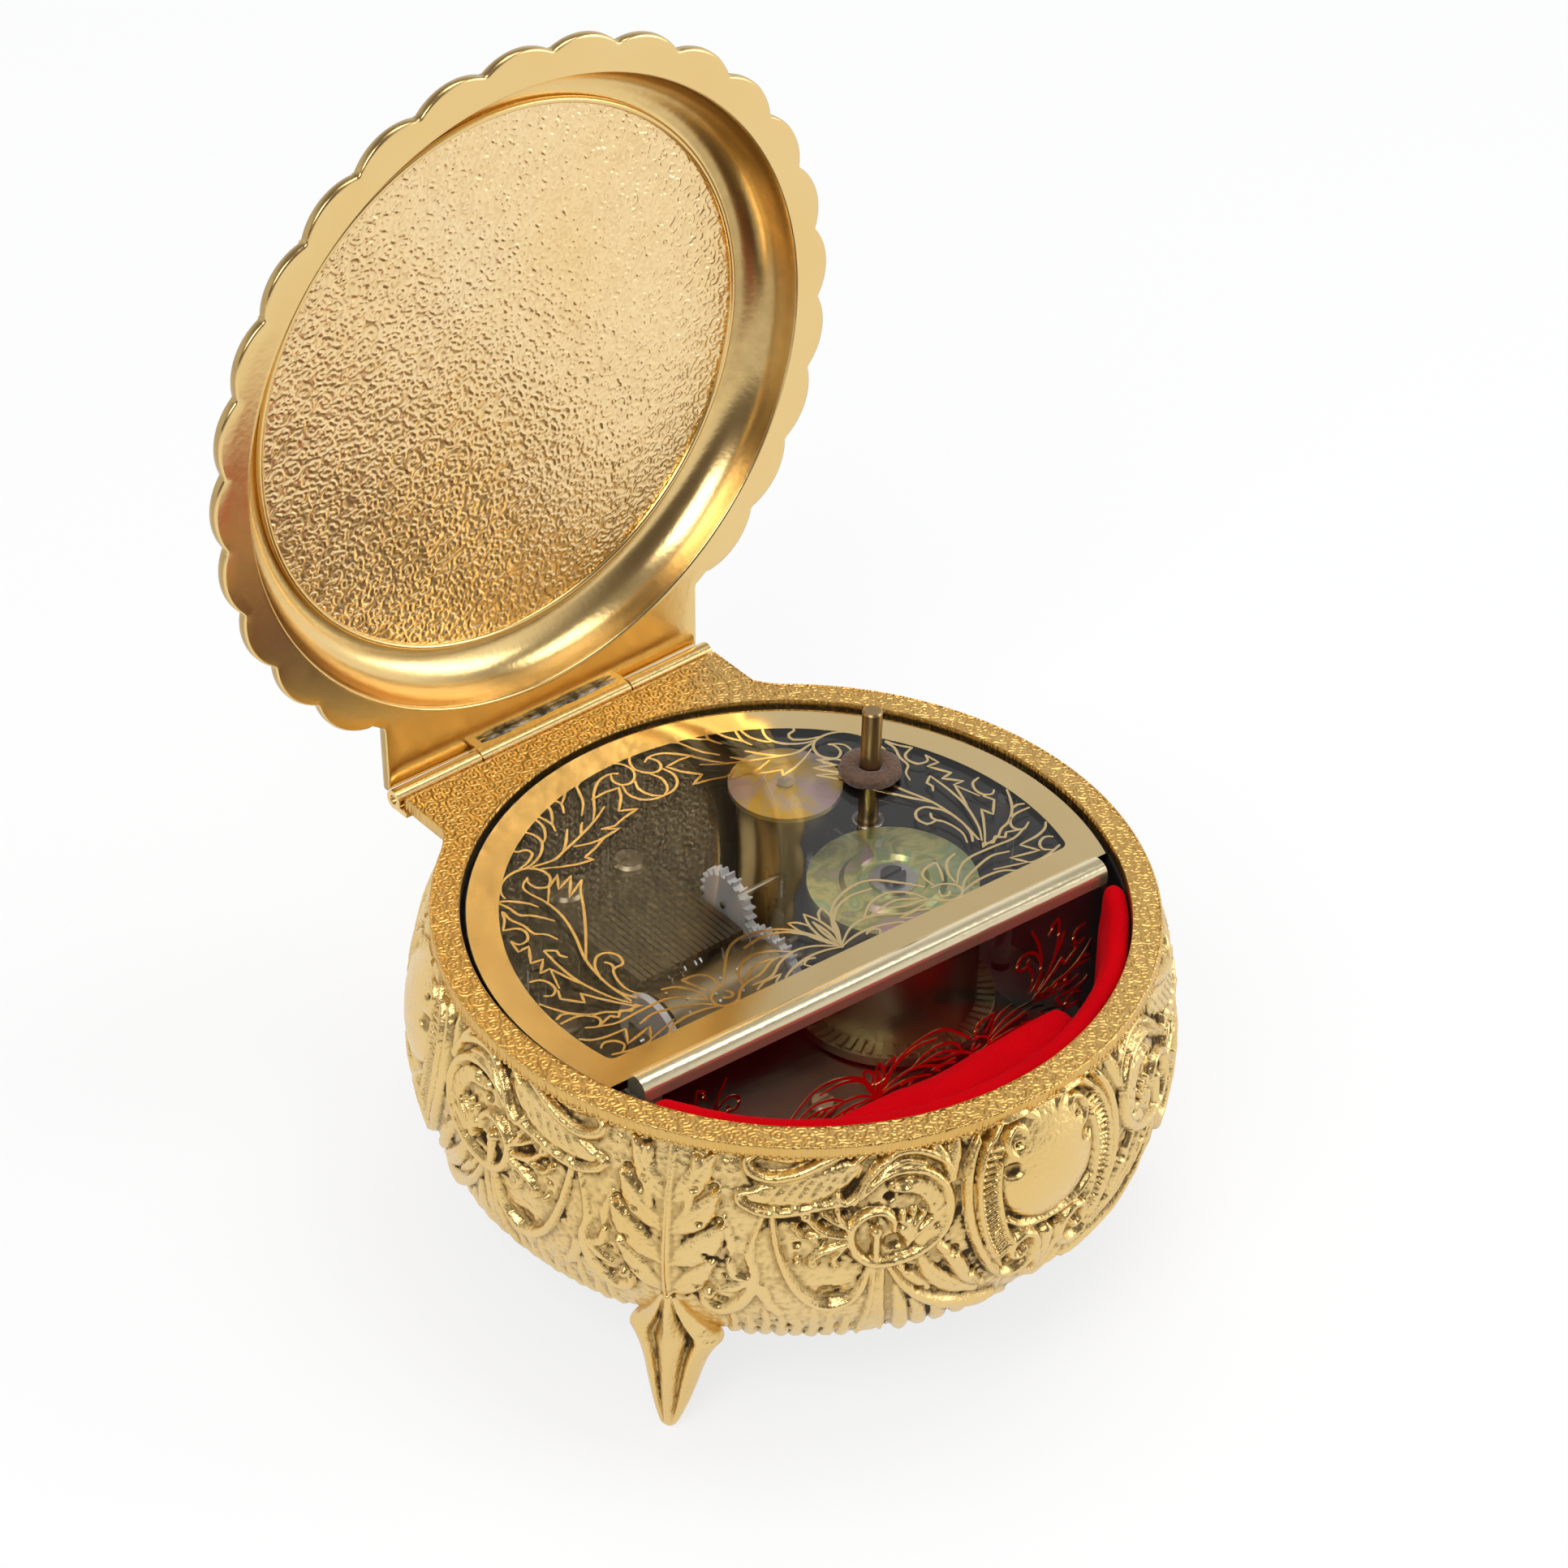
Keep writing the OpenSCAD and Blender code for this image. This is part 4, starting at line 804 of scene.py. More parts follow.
for r in np.concatenate([[53.9, 53.4, 53.0], np.linspace(52.6, 1.2, 112)]):
    edge = min(1, max(0, (52.8 - r) / 1.0))
    raised = sample(dome, dome_x, np.full_like(dome_x, r)) * edge
    z = np.interp(r, profile_r, profile_z)
    rows.append((r, lid_bottom + z + raised + 1.3 * math.exp(-(r / 6) ** 2)))
    darkening_rows.append(sample(dome_low, dome_x, np.full_like(dome_x, r)))
rows.append((0.0, lid_bottom + 11.1))
darkening_rows.append(np.full_like(angles, 0.0))
rings = np.stack([ring_at(r, z, turned) for r, z in rows])
slots = np.where(np.arange(len(rings)) < len(inner) + 5, 0, 1)
gilt_lid = gilt("gilt_polished", gold=(0.80, 0.55, 0.21), worn=(0.82, 0.61, 0.29),
                toned=(0.09, 0.055, 0.025), grain=0.05, rough=0.15, spots=0.5)
lid = shell("lid", stand_open(rings), (gilt_lid, gilt_cast), ends=False, hollow=np.array(darkening_rows),
            row_material=slots)
face_outwards(lid, 1e-6)
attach(lid, "lid")
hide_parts("lid_shell")

# The panel is rolled with a pattern of fine curls and pressed into the lid, and a
# round bead wire covers the joint between the panel and the cove.
# It is drawn in two halves.
panel_span = 46
panel_curls = curl_field(panel_span, lambda x, y: math.hypot(x, y) < panel_r, 3.1, 11, 0.11)
panel_gold = gilt("gilt_panel", gold=(0.90, 0.64, 0.29), worn=(0.95, 0.76, 0.46), toned=(0.55, 0.34, 0.13),
                  grain=0.12, rough=0.18, curls=("Z", 330.0, 0.26, 0.10))
for half, side in (("left", -1), ("right", 1)):
    s, t = np.meshgrid(np.linspace(0, side, 208), np.linspace(-1, 1, 415))
    x = s * np.sqrt(1 - t * t / 2) * (panel_r - 0.5)
    y = t * np.sqrt(1 - s * s / 2) * (panel_r - 0.5)
    raised = field_at(panel_curls, panel_span, x, y)
    swell = 0.25 * np.cos(np.hypot(x, y) / panel_r * math.pi / 2)
    swell += 0.05 * np.sin(x * 0.35) * np.cos(y * 0.27)
    face = np.stack([x, y, lid_bottom + lid_deep - 0.32 - raised - swell], -1)
    index = np.arange(x.size).reshape(x.shape)
    quads = np.stack([index[:-1, :-1], index[1:, :-1], index[1:, 1:], index[:-1, 1:]], -1).reshape(-1, 4)
    outline = np.concatenate([index[0, :-1], index[:-1, -1], index[-1, :0:-1], index[:0:-1, 0]])
    points = face.reshape(-1, 3)
    lifted = points[outline].copy()
    lifted[:, 2] = lid_bottom + lid_deep - 0.02
    first, count = len(points), len(outline)
    walls = [(int(outline[i]), int(outline[(i + 1) % count]), first + (i + 1) % count, first + i)
             for i in range(count)]
    mesh = bpy.data.meshes.new("lid_panel_" + half)
    mesh.from_pydata((stand_open(np.vstack([points, lifted])) * MM).tolist(), [],
                     [tuple(q) for q in quads.tolist()] + walls + [tuple(range(first, first + count))])
    point_values(mesh, "hollow", np.concatenate([(0.5 - 2.6 * raised).reshape(-1), np.full(count, 0.3)]))
    mesh.materials.append(panel_gold)
    mesh.shade_smooth()
    pairs = np.empty(len(mesh.edges) * 2, np.int32)
    mesh.edges.foreach_get("vertices", pairs)
    rimmed = np.isin(pairs.reshape(-1, 2), outline).all(1)
    mesh.edges.foreach_set("use_edge_sharp", rimmed)
    panel = put("lid_panel_" + half, mesh)
    face_outwards(panel)
    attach(panel, "lid")
    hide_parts("lid_panel")


def coat(made, *names):
    """Gives the named CAD pieces a material."""
    for name in names:
        bpy.data.objects[name].material_slots[0].material = made


coat(gilt_lid, "lid_bead", "hinge_knuckles", "lid_knuckle")

# A grey line of soft solder joins the middle knuckle to the lid. It is lumpy and
# half tarnished, as soldered by hand.
solder_y = 56.6
solder_z = 57.2
solder_half = 0.62
solder_high = 1.5
solder, surface, add, place = finish_paint("grey_solder", 0.45)
cloud = scaled(add, noise(add, place, 650.0, 6.0), 0.38, 0.66)
give(surface, Base_Color=blend(add, cloud, (0.05, 0.045, 0.04), (0.42, 0.39, 0.34)))
knuckle_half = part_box("lid_knuckle")[1][0] / MM
along = np.linspace(1.6 - knuckle_half, knuckle_half - 1.2, 160)
rng = np.random.default_rng(9)
lump = 0.36 + np.interp(along, np.linspace(along[0], along[-1], 34), rng.uniform(-0.09, 0.07, 34))
lump *= np.sqrt(np.clip((knuckle_half - 0.9 - np.abs(along)) / 3, 0.04, 1))
rings = [np.stack([along, solder_y + solder_half * lump * math.cos(a),
                   solder_z + solder_high * lump * math.sin(a)], -1)
         for a in np.linspace(0, 2 * math.pi, 10, endpoint=False)]
seam = shell("solder_line", stand_open(np.array(rings)), (solder,), loop=True)
face_outwards(seam)
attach(seam, "lid")

# ---------------------------------------------------------------- clear insert
# One clear moulding covers the movement: a D-shaped window with a wall down its
# straight side. A mirror-gold border and leaf scrolls are hot stamped on both, and
# a satin gold cap runs along the edge between them.
insert_turn = math.radians(-3)
face_z = rim_z - 1.2
insert_r = 49.2
divide_y = 21.0
ridge_w = 4.2
wall_top = face_z - 1.6
bed_z = 22.5
clear, surface, add, place = finish_paint("clear_moulding", 0.02, 0.0)
smear = noise(add, place, 60.0, 3.0)
give(surface, Transmission_Weight=1.0, IOR=1.46, Roughness=scaled(add, smear, high=0.035),
     Base_Color=blend(add, smear, (0.93, 0.93, 0.92), (0.97, 0.97, 0.96)))
coat(clear, "insert_window", "insert_wall", "insert_posts")

foil, surface, add, place = finish_paint("stamped_gold", 0.08)
cloud = noise(add, place, 90.0, 4.0)
give(surface, Base_Color=blend(add, cloud, (0.90, 0.66, 0.30), (0.95, 0.75, 0.42)),
     Roughness=scaled(add, cloud, low=0.04, high=0.16))


def turn_in(points):
    """Insert points, straight side along X, turned to how the insert sits in the case."""
    p = np.asarray(points, float).copy()
    x, y = p[..., 0].copy(), p[..., 1].copy()
    p[..., 0] = x * math.cos(insert_turn) - y * math.sin(insert_turn)
    p[..., 1] = x * math.sin(insert_turn) + y * math.cos(insert_turn)
    return p


def d_outline(radius, front, corner):
    """Points round a D: an arc closed by a straight front, with rounded corners."""
    inner_r = radius - corner
    base_y = front + corner
    half = math.sqrt(inner_r ** 2 - base_y ** 2)
    low = math.degrees(math.atan2(base_y, half))
    arc = np.radians(np.linspace(low, 180 - low, 220))
    points = [(radius * math.cos(a), radius * math.sin(a)) for a in arc]
    for a in np.radians(np.linspace(180 - low, 270, 14))[1:]:
        points.append((-half + corner * math.cos(a), base_y + corner * math.sin(a)))
    for s in np.linspace(-half, half, 40)[1:-1]:
        points.append((s, base_y - corner))
    for a in np.radians(np.linspace(-90, low, 14))[:-1]:
        points.append((half + corner * math.cos(a), base_y + corner * math.sin(a)))
    return np.array(points)


border_r = 44.2
border_front = -12.1
foil_z = face_z + 0.01
foil_top = face_z + 0.05
outer = d_outline(insert_r - 0.15, -divide_y + ridge_w - 0.05, 0.2)
inner = d_outline(border_r, border_front, 1.6)
loops = [np.column_stack([p, np.full(len(p), z)])
         for p, z in ((outer, foil_z), (outer, foil_top), (inner, foil_top), (inner, foil_z))]
border = shell("gold_border", turn_in(np.array(loops)), (foil,), loop=True, ends=False, flat=True)
face_outwards(border)
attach(border, "case")

# Each line of the scrolls is drawn for the left half and mirrored. A smooth line
# runs through its points; a jagged one is a serrated leaf edge.
smooth_lines = [
    [(-17.2, -9.6), (-15.9, -6.9), (-12.9, -5.1), (-9.5, -5.7), (-6.6, -7.9)],
    [(-16.3, -9.0), (-13.2, -7.3), (-9.8, -7.4)],
    [(-32.5, -3.2), (-33.1, 2.3), (-32.5, 8.2), (-30.6, 13.6), (-29.5, 18.2), (-29.5, 22.3), (-30.4, 25.9),
     (-30.2, 27.7), (-28.4, 29.1)],
    [(-28.4, 29.1), (-29, 28.2), (-28.8, 26.4), (-27.2, 25.5), (-25.6, 27.3), (-25.9, 29.5), (-27.5, 31),
     (-30.2, 31.1), (-32.5, 30), (-33.8, 28.2), (-34, 26.8)],
    [(-32.5, 8.2), (-28.4, 14.1), (-25.6, 18.6), (-23.8, 21.8), (-22.1, 23.9)],
    [(-33.2, 3.2), (-32.4, 6), (-30.8, 7.9), (-29, 7.8), (-28, 6.2), (-28.6, 4.4), (-30.4, 4.2),
     (-31.3, 2.2), (-31.5, -0.4), (-30.6, -2.7)],
    [(-31.4, -3), (-32.6, -1), (-33, 1.2)], [(-30.6, 6.3), (-30, 5.2), (-30.4, 4.2)],
    [(-0.1, 40.9), (-0.6, 43.2), (-2.5, 45), (-6.1, 45), (-9.3, 43.2), (-10, 41.8), (-11.1, 39.1),
     (-13.1, 36.6)],
    [(-2.5, 41.8), (-3.8, 42.5), (-6.1, 42), (-8.4, 40), (-9.7, 38.2), (-10.9, 36.4), (-12.5, 34.5)],
    [(-3.6, 42.4), (-4.3, 40.7), (-3.6, 39.1), (-2, 38.9), (-0.6, 40.2), (-0.1, 41.6)],
    [(-3.8, 38.9), (-4.3, 36.8), (-3.6, 34.8), (-2, 33.6), (0, 33.3)],
    [(-1.5, 38.9), (-2.2, 36.8), (-1.5, 34.5), (0, 33.3)],
    [(-26.5, 30.7), (-22.9, 30.2), (-20.2, 31.1), (-16.5, 32.5), (-12.9, 34.1), (-10.9, 35.2), (-9, 36.4)],
    [(-20.6, 30.9), (-18.8, 32.7), (-16.8, 35.2)], [(-16.1, 32.5), (-15, 34.1), (-14, 35.2)],
    [(-22.9, 38.9), (-21.8, 36.8), (-21.8, 34.8), (-23.4, 32.7), (-25.6, 31.4), (-27.9, 30.9)],
    [(-19.5, 41), (-19.5, 37.7), (-20.9, 35.2), (-21.8, 34.6)],
    [(-26.5, 36.6), (-26.3, 35), (-24.9, 34.6), (-24.6, 33.3), (-26.5, 31.9), (-28.4, 31.4)],
    [(-18.8, 40.8), (-18.1, 37.7), (-18.6, 35.7)], [(-15.6, 42.8), (-16.5, 39.8), (-18.1, 37.3)],
    [(-15, 42.8), (-14, 40.9), (-15, 38.6)], [(-10.9, 43.9), (-12.7, 41.8), (-14, 40.7)],
    [(-10.2, 44.4), (-9.7, 43), (-8.6, 43.6), (-7, 44.6)],
    [(-35.4, 26.8), (-33.8, 25.9), (-32, 24.1), (-31.1, 22.3)],
    [(-35.4, 26.4), (-34.8, 24.5), (-34.5, 22.5), (-32.7, 20.9), (-31, 18.3)],
    [(-38.4, 21), (-37, 22.7), (-36.1, 24.5), (-36.2, 22.3), (-35.4, 20), (-35.2, 17.7), (-33.8, 16.4),
     (-33.1, 14.5)],
    [(-38.6, 20.9), (-36.5, 20), (-36, 18.6), (-36.8, 17), (-38.4, 16.8), (-39, 18.2)],
    [(-36.3, 13.6), (-36.5, 9.1), (-36.1, 4.5), (-34.5, -0.5), (-32.7, -3.6)],
    [(-37.9, 9.5), (-36.8, 5.9), (-36.1, 4.1)],
    [(-42.2, 8.9), (-40.6, 8.4), (-39.8, 6.8), (-40.1, 5.2), (-41.3, 4.5), (-42.2, 5.2)],
    [(-42.6, 11.4), (-41.8, 9)],
    [(-43.8, 4.1), (-42.7, 1.8), (-41.1, -0.5), (-39, -2.3), (-37, -3), (-35.2, -4.2), (-32, -4.8)],
    [(-43.9, -1.4), (-41.1, -1.4), (-39.3, -2.3), (-38.6, -3.9), (-39.7, -5), (-41.5, -4.1)],
    [(-43.8, -0.3), (-42.6, 0.2), (-41.4, -0.2)],
    [(-39.7, -5), (-37, -5.9), (-32.9, -5.7), (-28.4, -5.7), (-25.6, -7), (-23.1, -9.5)],
    [(-27.5, -3.6), (-25.2, -4.5), (-23.6, -6.8), (-23.1, -9.1)],
    [(-34.5, -8), (-31.5, -7.3), (-27.9, -8.2), (-24.7, -9.5), (-23.1, -10.9)],
    [(-43.6, -5.6), (-42.4, -6.8), (-40.2, -7.5), (-36.8, -7.7)],
    [(-42.2, -9.1), (-41.1, -8.4), (-39.5, -9.1), (-39, -10.5), (-40.2, -11.6)],
    [(-41.8, -11.2), (-38.8, -12), (-36.1, -12.1), (-34.7, -11.4)],
    [(-32.5, -12.3), (-30.6, -11), (-27.9, -10.6), (-25.2, -10.8), (-22.9, -11.4)],
    [(-19.3, -8), (-21.1, -8.2), (-22.7, -9.4), (-22.9, -11), (-21.8, -12), (-19.7, -11.9), (-18.1, -10.4),
     (-16.1, -9.5), (-13.4, -9.1), (-10.2, -7.7), (-8, -7.9)],
    [(-21.2, -10.2), (-20.2, -10.9), (-19.4, -10.2), (-20, -9.1)],
    [(-23.8, -3.6), (-22.9, -5.9), (-21.8, -7.8)], [(-23.8, -3.6), (-21.5, -3.9), (-20, -5.2), (-20, -7.8)],
    [(-18.8, -7.3), (-16.5, -4.5), (-13.8, -1.8), (-11.1, -0.8), (-7.5, -1.4), (-4.3, -3.2), (-1.8, -6.6),
     (0, -11)],
    [(-12, -3), (-8.4, -2.5), (-5.2, -3.4), (-3.1, -5.2), (-1.3, -8), (0, -11)],
    [(-16.1, -10.6), (-12.5, -10.5), (-9.7, -8.8), (-6.6, -7.9), (-3.4, -8.6), (0, -11)],
    [(-11.1, -12), (-8.8, -10.9), (-5.6, -10.2), (-2.5, -10.4), (0, -11.2)],
    [(-4.7, -11), (-5.9, -10.5), (-7, -11.2), (-6.4, -12.1)],
    [(0, -11.4), (-1.1, -8.6), (-1, -4.8), (0, -1.8)], [(0, -11), (-0.3, -7), (0, -4)],
    [(0, -11), (-2, -7.5), (-2.9, -4.6), (-3.2, -2.2)], [(-3.2, -2.2), (-1.9, -3), (-1.1, -4.4)],
]
jagged_lines = [
    [(-22.1, 23.9), (-26.1, 21.5), (-22.9, 25.6), (-26.3, 24), (-24.4, 27), (-27.2, 25.2), (-29.4, 22.3)],
    [(-9.7, 38.9), (-7, 39.2), (-4.5, 38.9), (-5.6, 36.8), (-7.9, 34.2), (-5.2, 33), (-7.9, 32.5),
     (-10.6, 31.6), (-12.7, 32.2)],
    [(-12.7, 32.2), (-10.4, 30.7), (-14.3, 30.1), (-16.1, 30.3), (-18.6, 31.1)],
    [(-13.8, 30), (-16.1, 28.9), (-18.6, 28), (-17.9, 26.8), (-20.6, 27.3), (-22.9, 28.2), (-25.6, 29.6)],
    [(-39, 18.2), (-39.5, 15.5), (-37.5, 15.7), (-39.5, 12.3), (-37.5, 12), (-39.7, 9.6), (-37.9, 9.7),
     (-39.4, 5.2)],
    [(-36.3, 13.6), (-34.8, 12.5), (-35, 11.3), (-34.3, 10.3)],
    [(-39.8, 5), (-40.6, 3.2), (-38.2, 0.5), (-37.5, 2.5), (-36.3, 0.5), (-34.3, -2.3), (-32.5, -4.6)],
    [(-39.7, -5), (-37, -4.1), (-36.1, -5), (-35, -3.9), (-33.8, -5), (-32.5, -4.1), (-31.8, -5)],
    [(-36.8, -7.7), (-38.4, -10.5), (-33.6, -9.3), (-35.2, -11.7), (-29.7, -10)],
    [(-16.1, -11.8), (-14.3, -10.9), (-11.1, -10.9), (-12.9, -12)],
]


def half_scrolls(lift, top):
    """Both halves of the scrolls that stay under top, as points in metres at the place lift gives."""
    lines, widths = [], []
    for line, sharp in [(p, False) for p in smooth_lines] + [(p, True) for p in jagged_lines]:
        p = np.array(line, float)
        p = p[np.cumsum(p[:, 1] > top) == 0]
        if len(p) < 3:
            continue
        if sharp:
            p = np.vstack([np.linspace(a, b, 4)[:-1] for a, b in zip(p[:-1], p[1:])] + [p[-1:]])
        else:
            p = smooth_line(p, 0.45)
        t = np.linspace(0, 1, len(p))
        wide = 0.45 + 0.55 * np.sin(math.pi * np.clip(t * 0.85 + 0.12, 0, 1)) ** 0.6
        for flip in (1, -1):
            lines.append(lift(np.column_stack([p[:, 0] * flip, p[:, 1]])) * MM)
            widths.append(wide)
    return lines, widths


def stamped_lines(add, inputs):
    """A flat ribbon along every line, as wide as its points say."""
    line = add("GeometryNodeMeshToCurve", Mesh=inputs["Geometry"])
    up = add("GeometryNodeSetCurveNormal", mode="Z_UP", Curve=line.outputs[0])
    share = add("GeometryNodeInputNamedAttribute", data_type="FLOAT", Name="wide").outputs["Attribute"]
    swell = add("GeometryNodeSetCurveRadius", Curve=up.outputs[0], Radius=share)
    flat = add("GeometryNodeCurvePrimitiveQuadrilateral", Width=inputs["Level size"],
               Height=inputs["Upright size"])
    ribbon = add("GeometryNodeCurveToMesh", Curve=swell.outputs[0], Profile_Curve=flat.outputs[0],
                 Scale=share, Fill_Caps=True)
    return ribbon.outputs[0]


def on_window(p):
    """Scroll points laid on the top of the window."""
    return turn_in(np.column_stack([p, np.full(len(p), face_z + 0.035)]))


def on_wall(p):
    """Scroll points stood up on the front of the wall, and squeezed to fit it."""
    across = p[:, 0] * 0.93
    up = bed_z + 10.5 + (p[:, 1] + 12.2) * (wall_top - bed_z - 12) / 27
    return turn_in(np.column_stack([across, np.full(len(p), -divide_y - 0.03), up]))


sizes = {"Level size": 0.46 * MM, "Upright size": 0.05 * MM}
tree, sockets = grow("stamped_lines", stamped_lines, sizes, foil)
for name, lift, top, level, upright in (("window_scrolls", on_window, 50, 0.46, 0.05),
                                        ("wall_scrolls", on_wall, 14, 0.05, 0.55)):
    lines, widths = half_scrolls(lift, top)
    sizes = {"Level size": level * MM, "Upright size": upright * MM}
    scrolls = grown_piece(name, tree, sockets, sizes, line_mesh(name + "_lines", lines, widths),
                          flat=True)
    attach(scrolls, "case")

satin, surface, add, place = finish_paint("satin_cap", 0.3, 0.85)
along = add("ShaderNodeMapping", Vector=place, Scale=(0.04, 1, 1)).outputs[0]
streak = noise(add, along, 1800.0, 3.0)
give(surface, Base_Color=blend(add, streak, (0.74, 0.62, 0.38), (0.84, 0.75, 0.52)),
     Roughness=scaled(add, streak, low=0.13, high=0.24))
coat(satin, "insert_ridge")

# ---------------------------------------------------------------- velvet lining
# Red velvet covers a padded strip round the front of the opening, a thin floor pad
# and a block cushion with a soft edge. All are glued into the compartment.
velvet, surface, add, place = finish_paint("red_velvet", 0.9, 0.0)
nap = noise(add, place, 70.0, 3.0)
pile = noise(add, place, 2600.0, 2.0)
both = work_out(add, "MULTIPLY_ADD", pile, 0.4, work_out(add, "MULTIPLY", nap, 0.6))
give(surface, Base_Color=blend(add, both, (0.36, 0.0, 0.003), (0.68, 0.001, 0.005)),
     Sheen_Weight=0.3, Sheen_Roughness=0.35, Sheen_Tint=(1.0, 0.03, 0.04, 1),
     Specular_IOR_Level=0.03, Normal=bumped(add, pile, 0.5, 0.0003))
lining_r = 46.4
floor_z = rim_z - 28.5


def baked(piece):
    """The piece's mesh as its modifiers leave it; the modifiers are taken off."""
    mesh = bpy.data.meshes.new_from_object(piece.evaluated_get(bpy.context.evaluated_depsgraph_get()))
    piece.modifiers.clear()
    return mesh


def puff(piece, voxel, limit):
    """Fills a pad: a cloth skin swells under pressure, each point by no more than the limit."""
    remesh = piece.modifiers.new("skin", "REMESH")
    remesh.mode = "VOXEL"
    remesh.voxel_size = voxel * MM
    skin = baked(piece)
    piece.data = skin
    cloth = piece.modifiers.new("cloth", "CLOTH")
    cloth.settings.quality = 6
    cloth.settings.mass = 0.002
    cloth.settings.use_pressure = True
    cloth.settings.uniform_pressure_force = 6
    cloth.settings.tension_stiffness = 4
    cloth.settings.compression_stiffness = 4
    cloth.settings.bending_stiffness = 0.05
    cloth.settings.effector_weights.gravity = 0
    cloth.point_cache.frame_end = 20
    for step in range(1, 21):
        bpy.context.scene.frame_set(step)
    done = piece.evaluated_get(bpy.context.evaluated_depsgraph_get())
    swollen = np.array([v.co[:] for v in done.data.vertices])
    before = np.array([v.co[:] for v in skin.vertices])
    piece.modifiers.clear()
    bpy.context.scene.frame_set(1)
    move = swollen - before
    far = np.linalg.norm(move, axis=1, keepdims=True)
    move *= np.minimum(1, limit * MM / np.maximum(far, 1e-9))
    skin.vertices.foreach_set("co", (before + move).astype(np.float32).reshape(-1))
    finer = piece.modifiers.new("finer", "SUBSURF")
    finer.levels = finer.render_levels = 1
    smooth = baked(piece)
    piece.data = smooth
    smooth.materials.clear()
    smooth.materials.append(velvet)
    smooth.shade_smooth()


def keep_clear(piece, keep):
    """Moves points that left their space back to its edge; keep maps an array of points in mm."""
    mesh = piece.data
    points = np.empty(len(mesh.vertices) * 3, np.float32)
    mesh.vertices.foreach_get("co", points)
    points = keep(points.reshape(-1, 3).astype(float) / MM)
    mesh.vertices.foreach_set("co", (points * MM).astype(np.float32).reshape(-1))
    mesh.update()


strip_profile = [(49.2, 28.2), (49.5, 30), (49.5, 55.0), (49.2, 56.2), (48.5, 56.8), (47.2, 56.8),
                 (46.4, 56.2), (46.1, 54.8), (46.3, 30), (46.6, 28.2)]
strip_r = 48
strip_z = 42
end_turn = math.degrees(math.asin((divide_y + 0.9) / 48.4))
sweep = np.linspace(-180 + end_turn + 0.4, -end_turn - 0.4, 120) + math.degrees(insert_turn)
path = []
for k, a in enumerate(sweep):
    near = min(k, len(sweep) - 1 - k)
    slim = 1 - 0.35 * max(0, 1 - near / 3) ** 2
    path.append([((r - strip_r) * slim + strip_r, (z - strip_z) * (1 - (1 - slim) * 0.15) + strip_z,
                  math.radians(a)) for r, z in strip_profile])
rings = np.array([[(r * math.cos(a), r * math.sin(a), z) for r, z, a in ring] for ring in path])
strip = shell("velvet_strip", np.swapaxes(rings, 0, 1), (velvet,), loop=True)
face_outwards(strip)
puff(strip, 1.1, 0.35)


def strip_space(p):
    """The strip stays between the lining and the case, and its top edge is a little wavy."""
    r = np.hypot(p[:, 0], p[:, 1])
    wave = np.sin(np.degrees(np.arctan2(p[:, 1], p[:, 0])) * 0.31)
    ripple = 0.12 * wave * np.clip((p[:, 2] - 48) / 6, 0, 1)
    new = np.clip(r + ripple, 45.7, 49.85)
    p[:, 0] *= new / r
    p[:, 1] *= new / r
    p[:, 2] = np.clip(p[:, 2] + ripple * 0.6, 27.9, 57.1)
    return p


keep_clear(strip, strip_space)
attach(strip, "case")
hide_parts("lining_wall")


def front_outline(radius, back, right):
    """An outline between the front arc and straight sides, in the insert's own turn."""
    left = -math.sqrt(radius ** 2 - back ** 2)
    right = min(right, -left)
    low = math.atan2(-math.sqrt(max(radius ** 2 - right ** 2, 0)), right)
    arc = np.linspace(math.atan2(back, left), low, 60)
    points = [(radius * math.cos(a), radius * math.sin(a)) for a in arc]
    points += [(right, y) for y in np.linspace(points[-1][1], back, 14)[1:-1]]
    points += [(x, back) for x in np.linspace(right, left, 50)[:-1]]
    return np.array(points)


def inside_lining(p):
    """A pad stays inside the velvet strip."""
    r = np.hypot(p[:, 0], p[:, 1])
    new = np.minimum(r, lining_r - 0.12)
    p[:, 0] *= new / r
    p[:, 1] *= new / r
    return p


def pad(name, outline, node, bottom, top, inset, crown, fill, voxel, limit):
    """A stuffed pad over a flat outline, with a crowned top and pulled-in edges."""
    middle = outline.mean(0)
    away = outline - middle
    far = np.linalg.norm(away, axis=1, keepdims=True)
    loops = []
    for z, wider in ((bottom, -inset), (bottom + 0.3 * inset, 0), (top - inset, 0),
                     (top - 0.3 * inset, -0.3 * inset), (top, -inset)):
        loops.append(np.column_stack([outline + away / far * wider, np.full(len(outline), z)]))
    for share in (0.75, 0.5, 0.25, 0.02):
        flat = middle + (loops[4][:, :2] - middle) * share
        loops.append(np.column_stack([flat, np.full(len(flat), top + crown * (1 - share ** 2))]))
    navel = middle + (loops[0][:, :2] - middle) * 0.02
    loops.insert(0, np.column_stack([navel, np.full(len(outline), bottom)]))
    made = shell(name, turn_in(np.array(loops)), (velvet,), ends=False)
    work = bmesh.new()
    work.from_mesh(made.data)
    n = len(outline)
    for first in (len(loops) - 1, 0):
        work.verts.ensure_lookup_table()
        work.faces.new([work.verts[first * n + i] for i in range(n)])
    bmesh.ops.recalc_face_normals(work, faces=work.faces)
    work.to_mesh(made.data)
    work.free()
    puff(made, voxel, limit)
    keep_clear(made, inside_lining)
    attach(made, "case")
    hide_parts(node)


pad("velvet_floor", front_outline(lining_r - 0.6, -divide_y - 0.9, 60), "lining_floor",
    bottom=floor_z - 1.3, top=floor_z - 0.45, inset=0.3, crown=0.1, fill=0.3, voxel=0.9, limit=0.2)
pad("velvet_cushion", front_outline(lining_r - 1.0, -34.8, 23.0), "lining_pad",
    bottom=floor_z + 0.5, top=floor_z + 22.3, inset=2.0, crown=0.6, fill=0.9, voxel=1.6, limit=1.1)

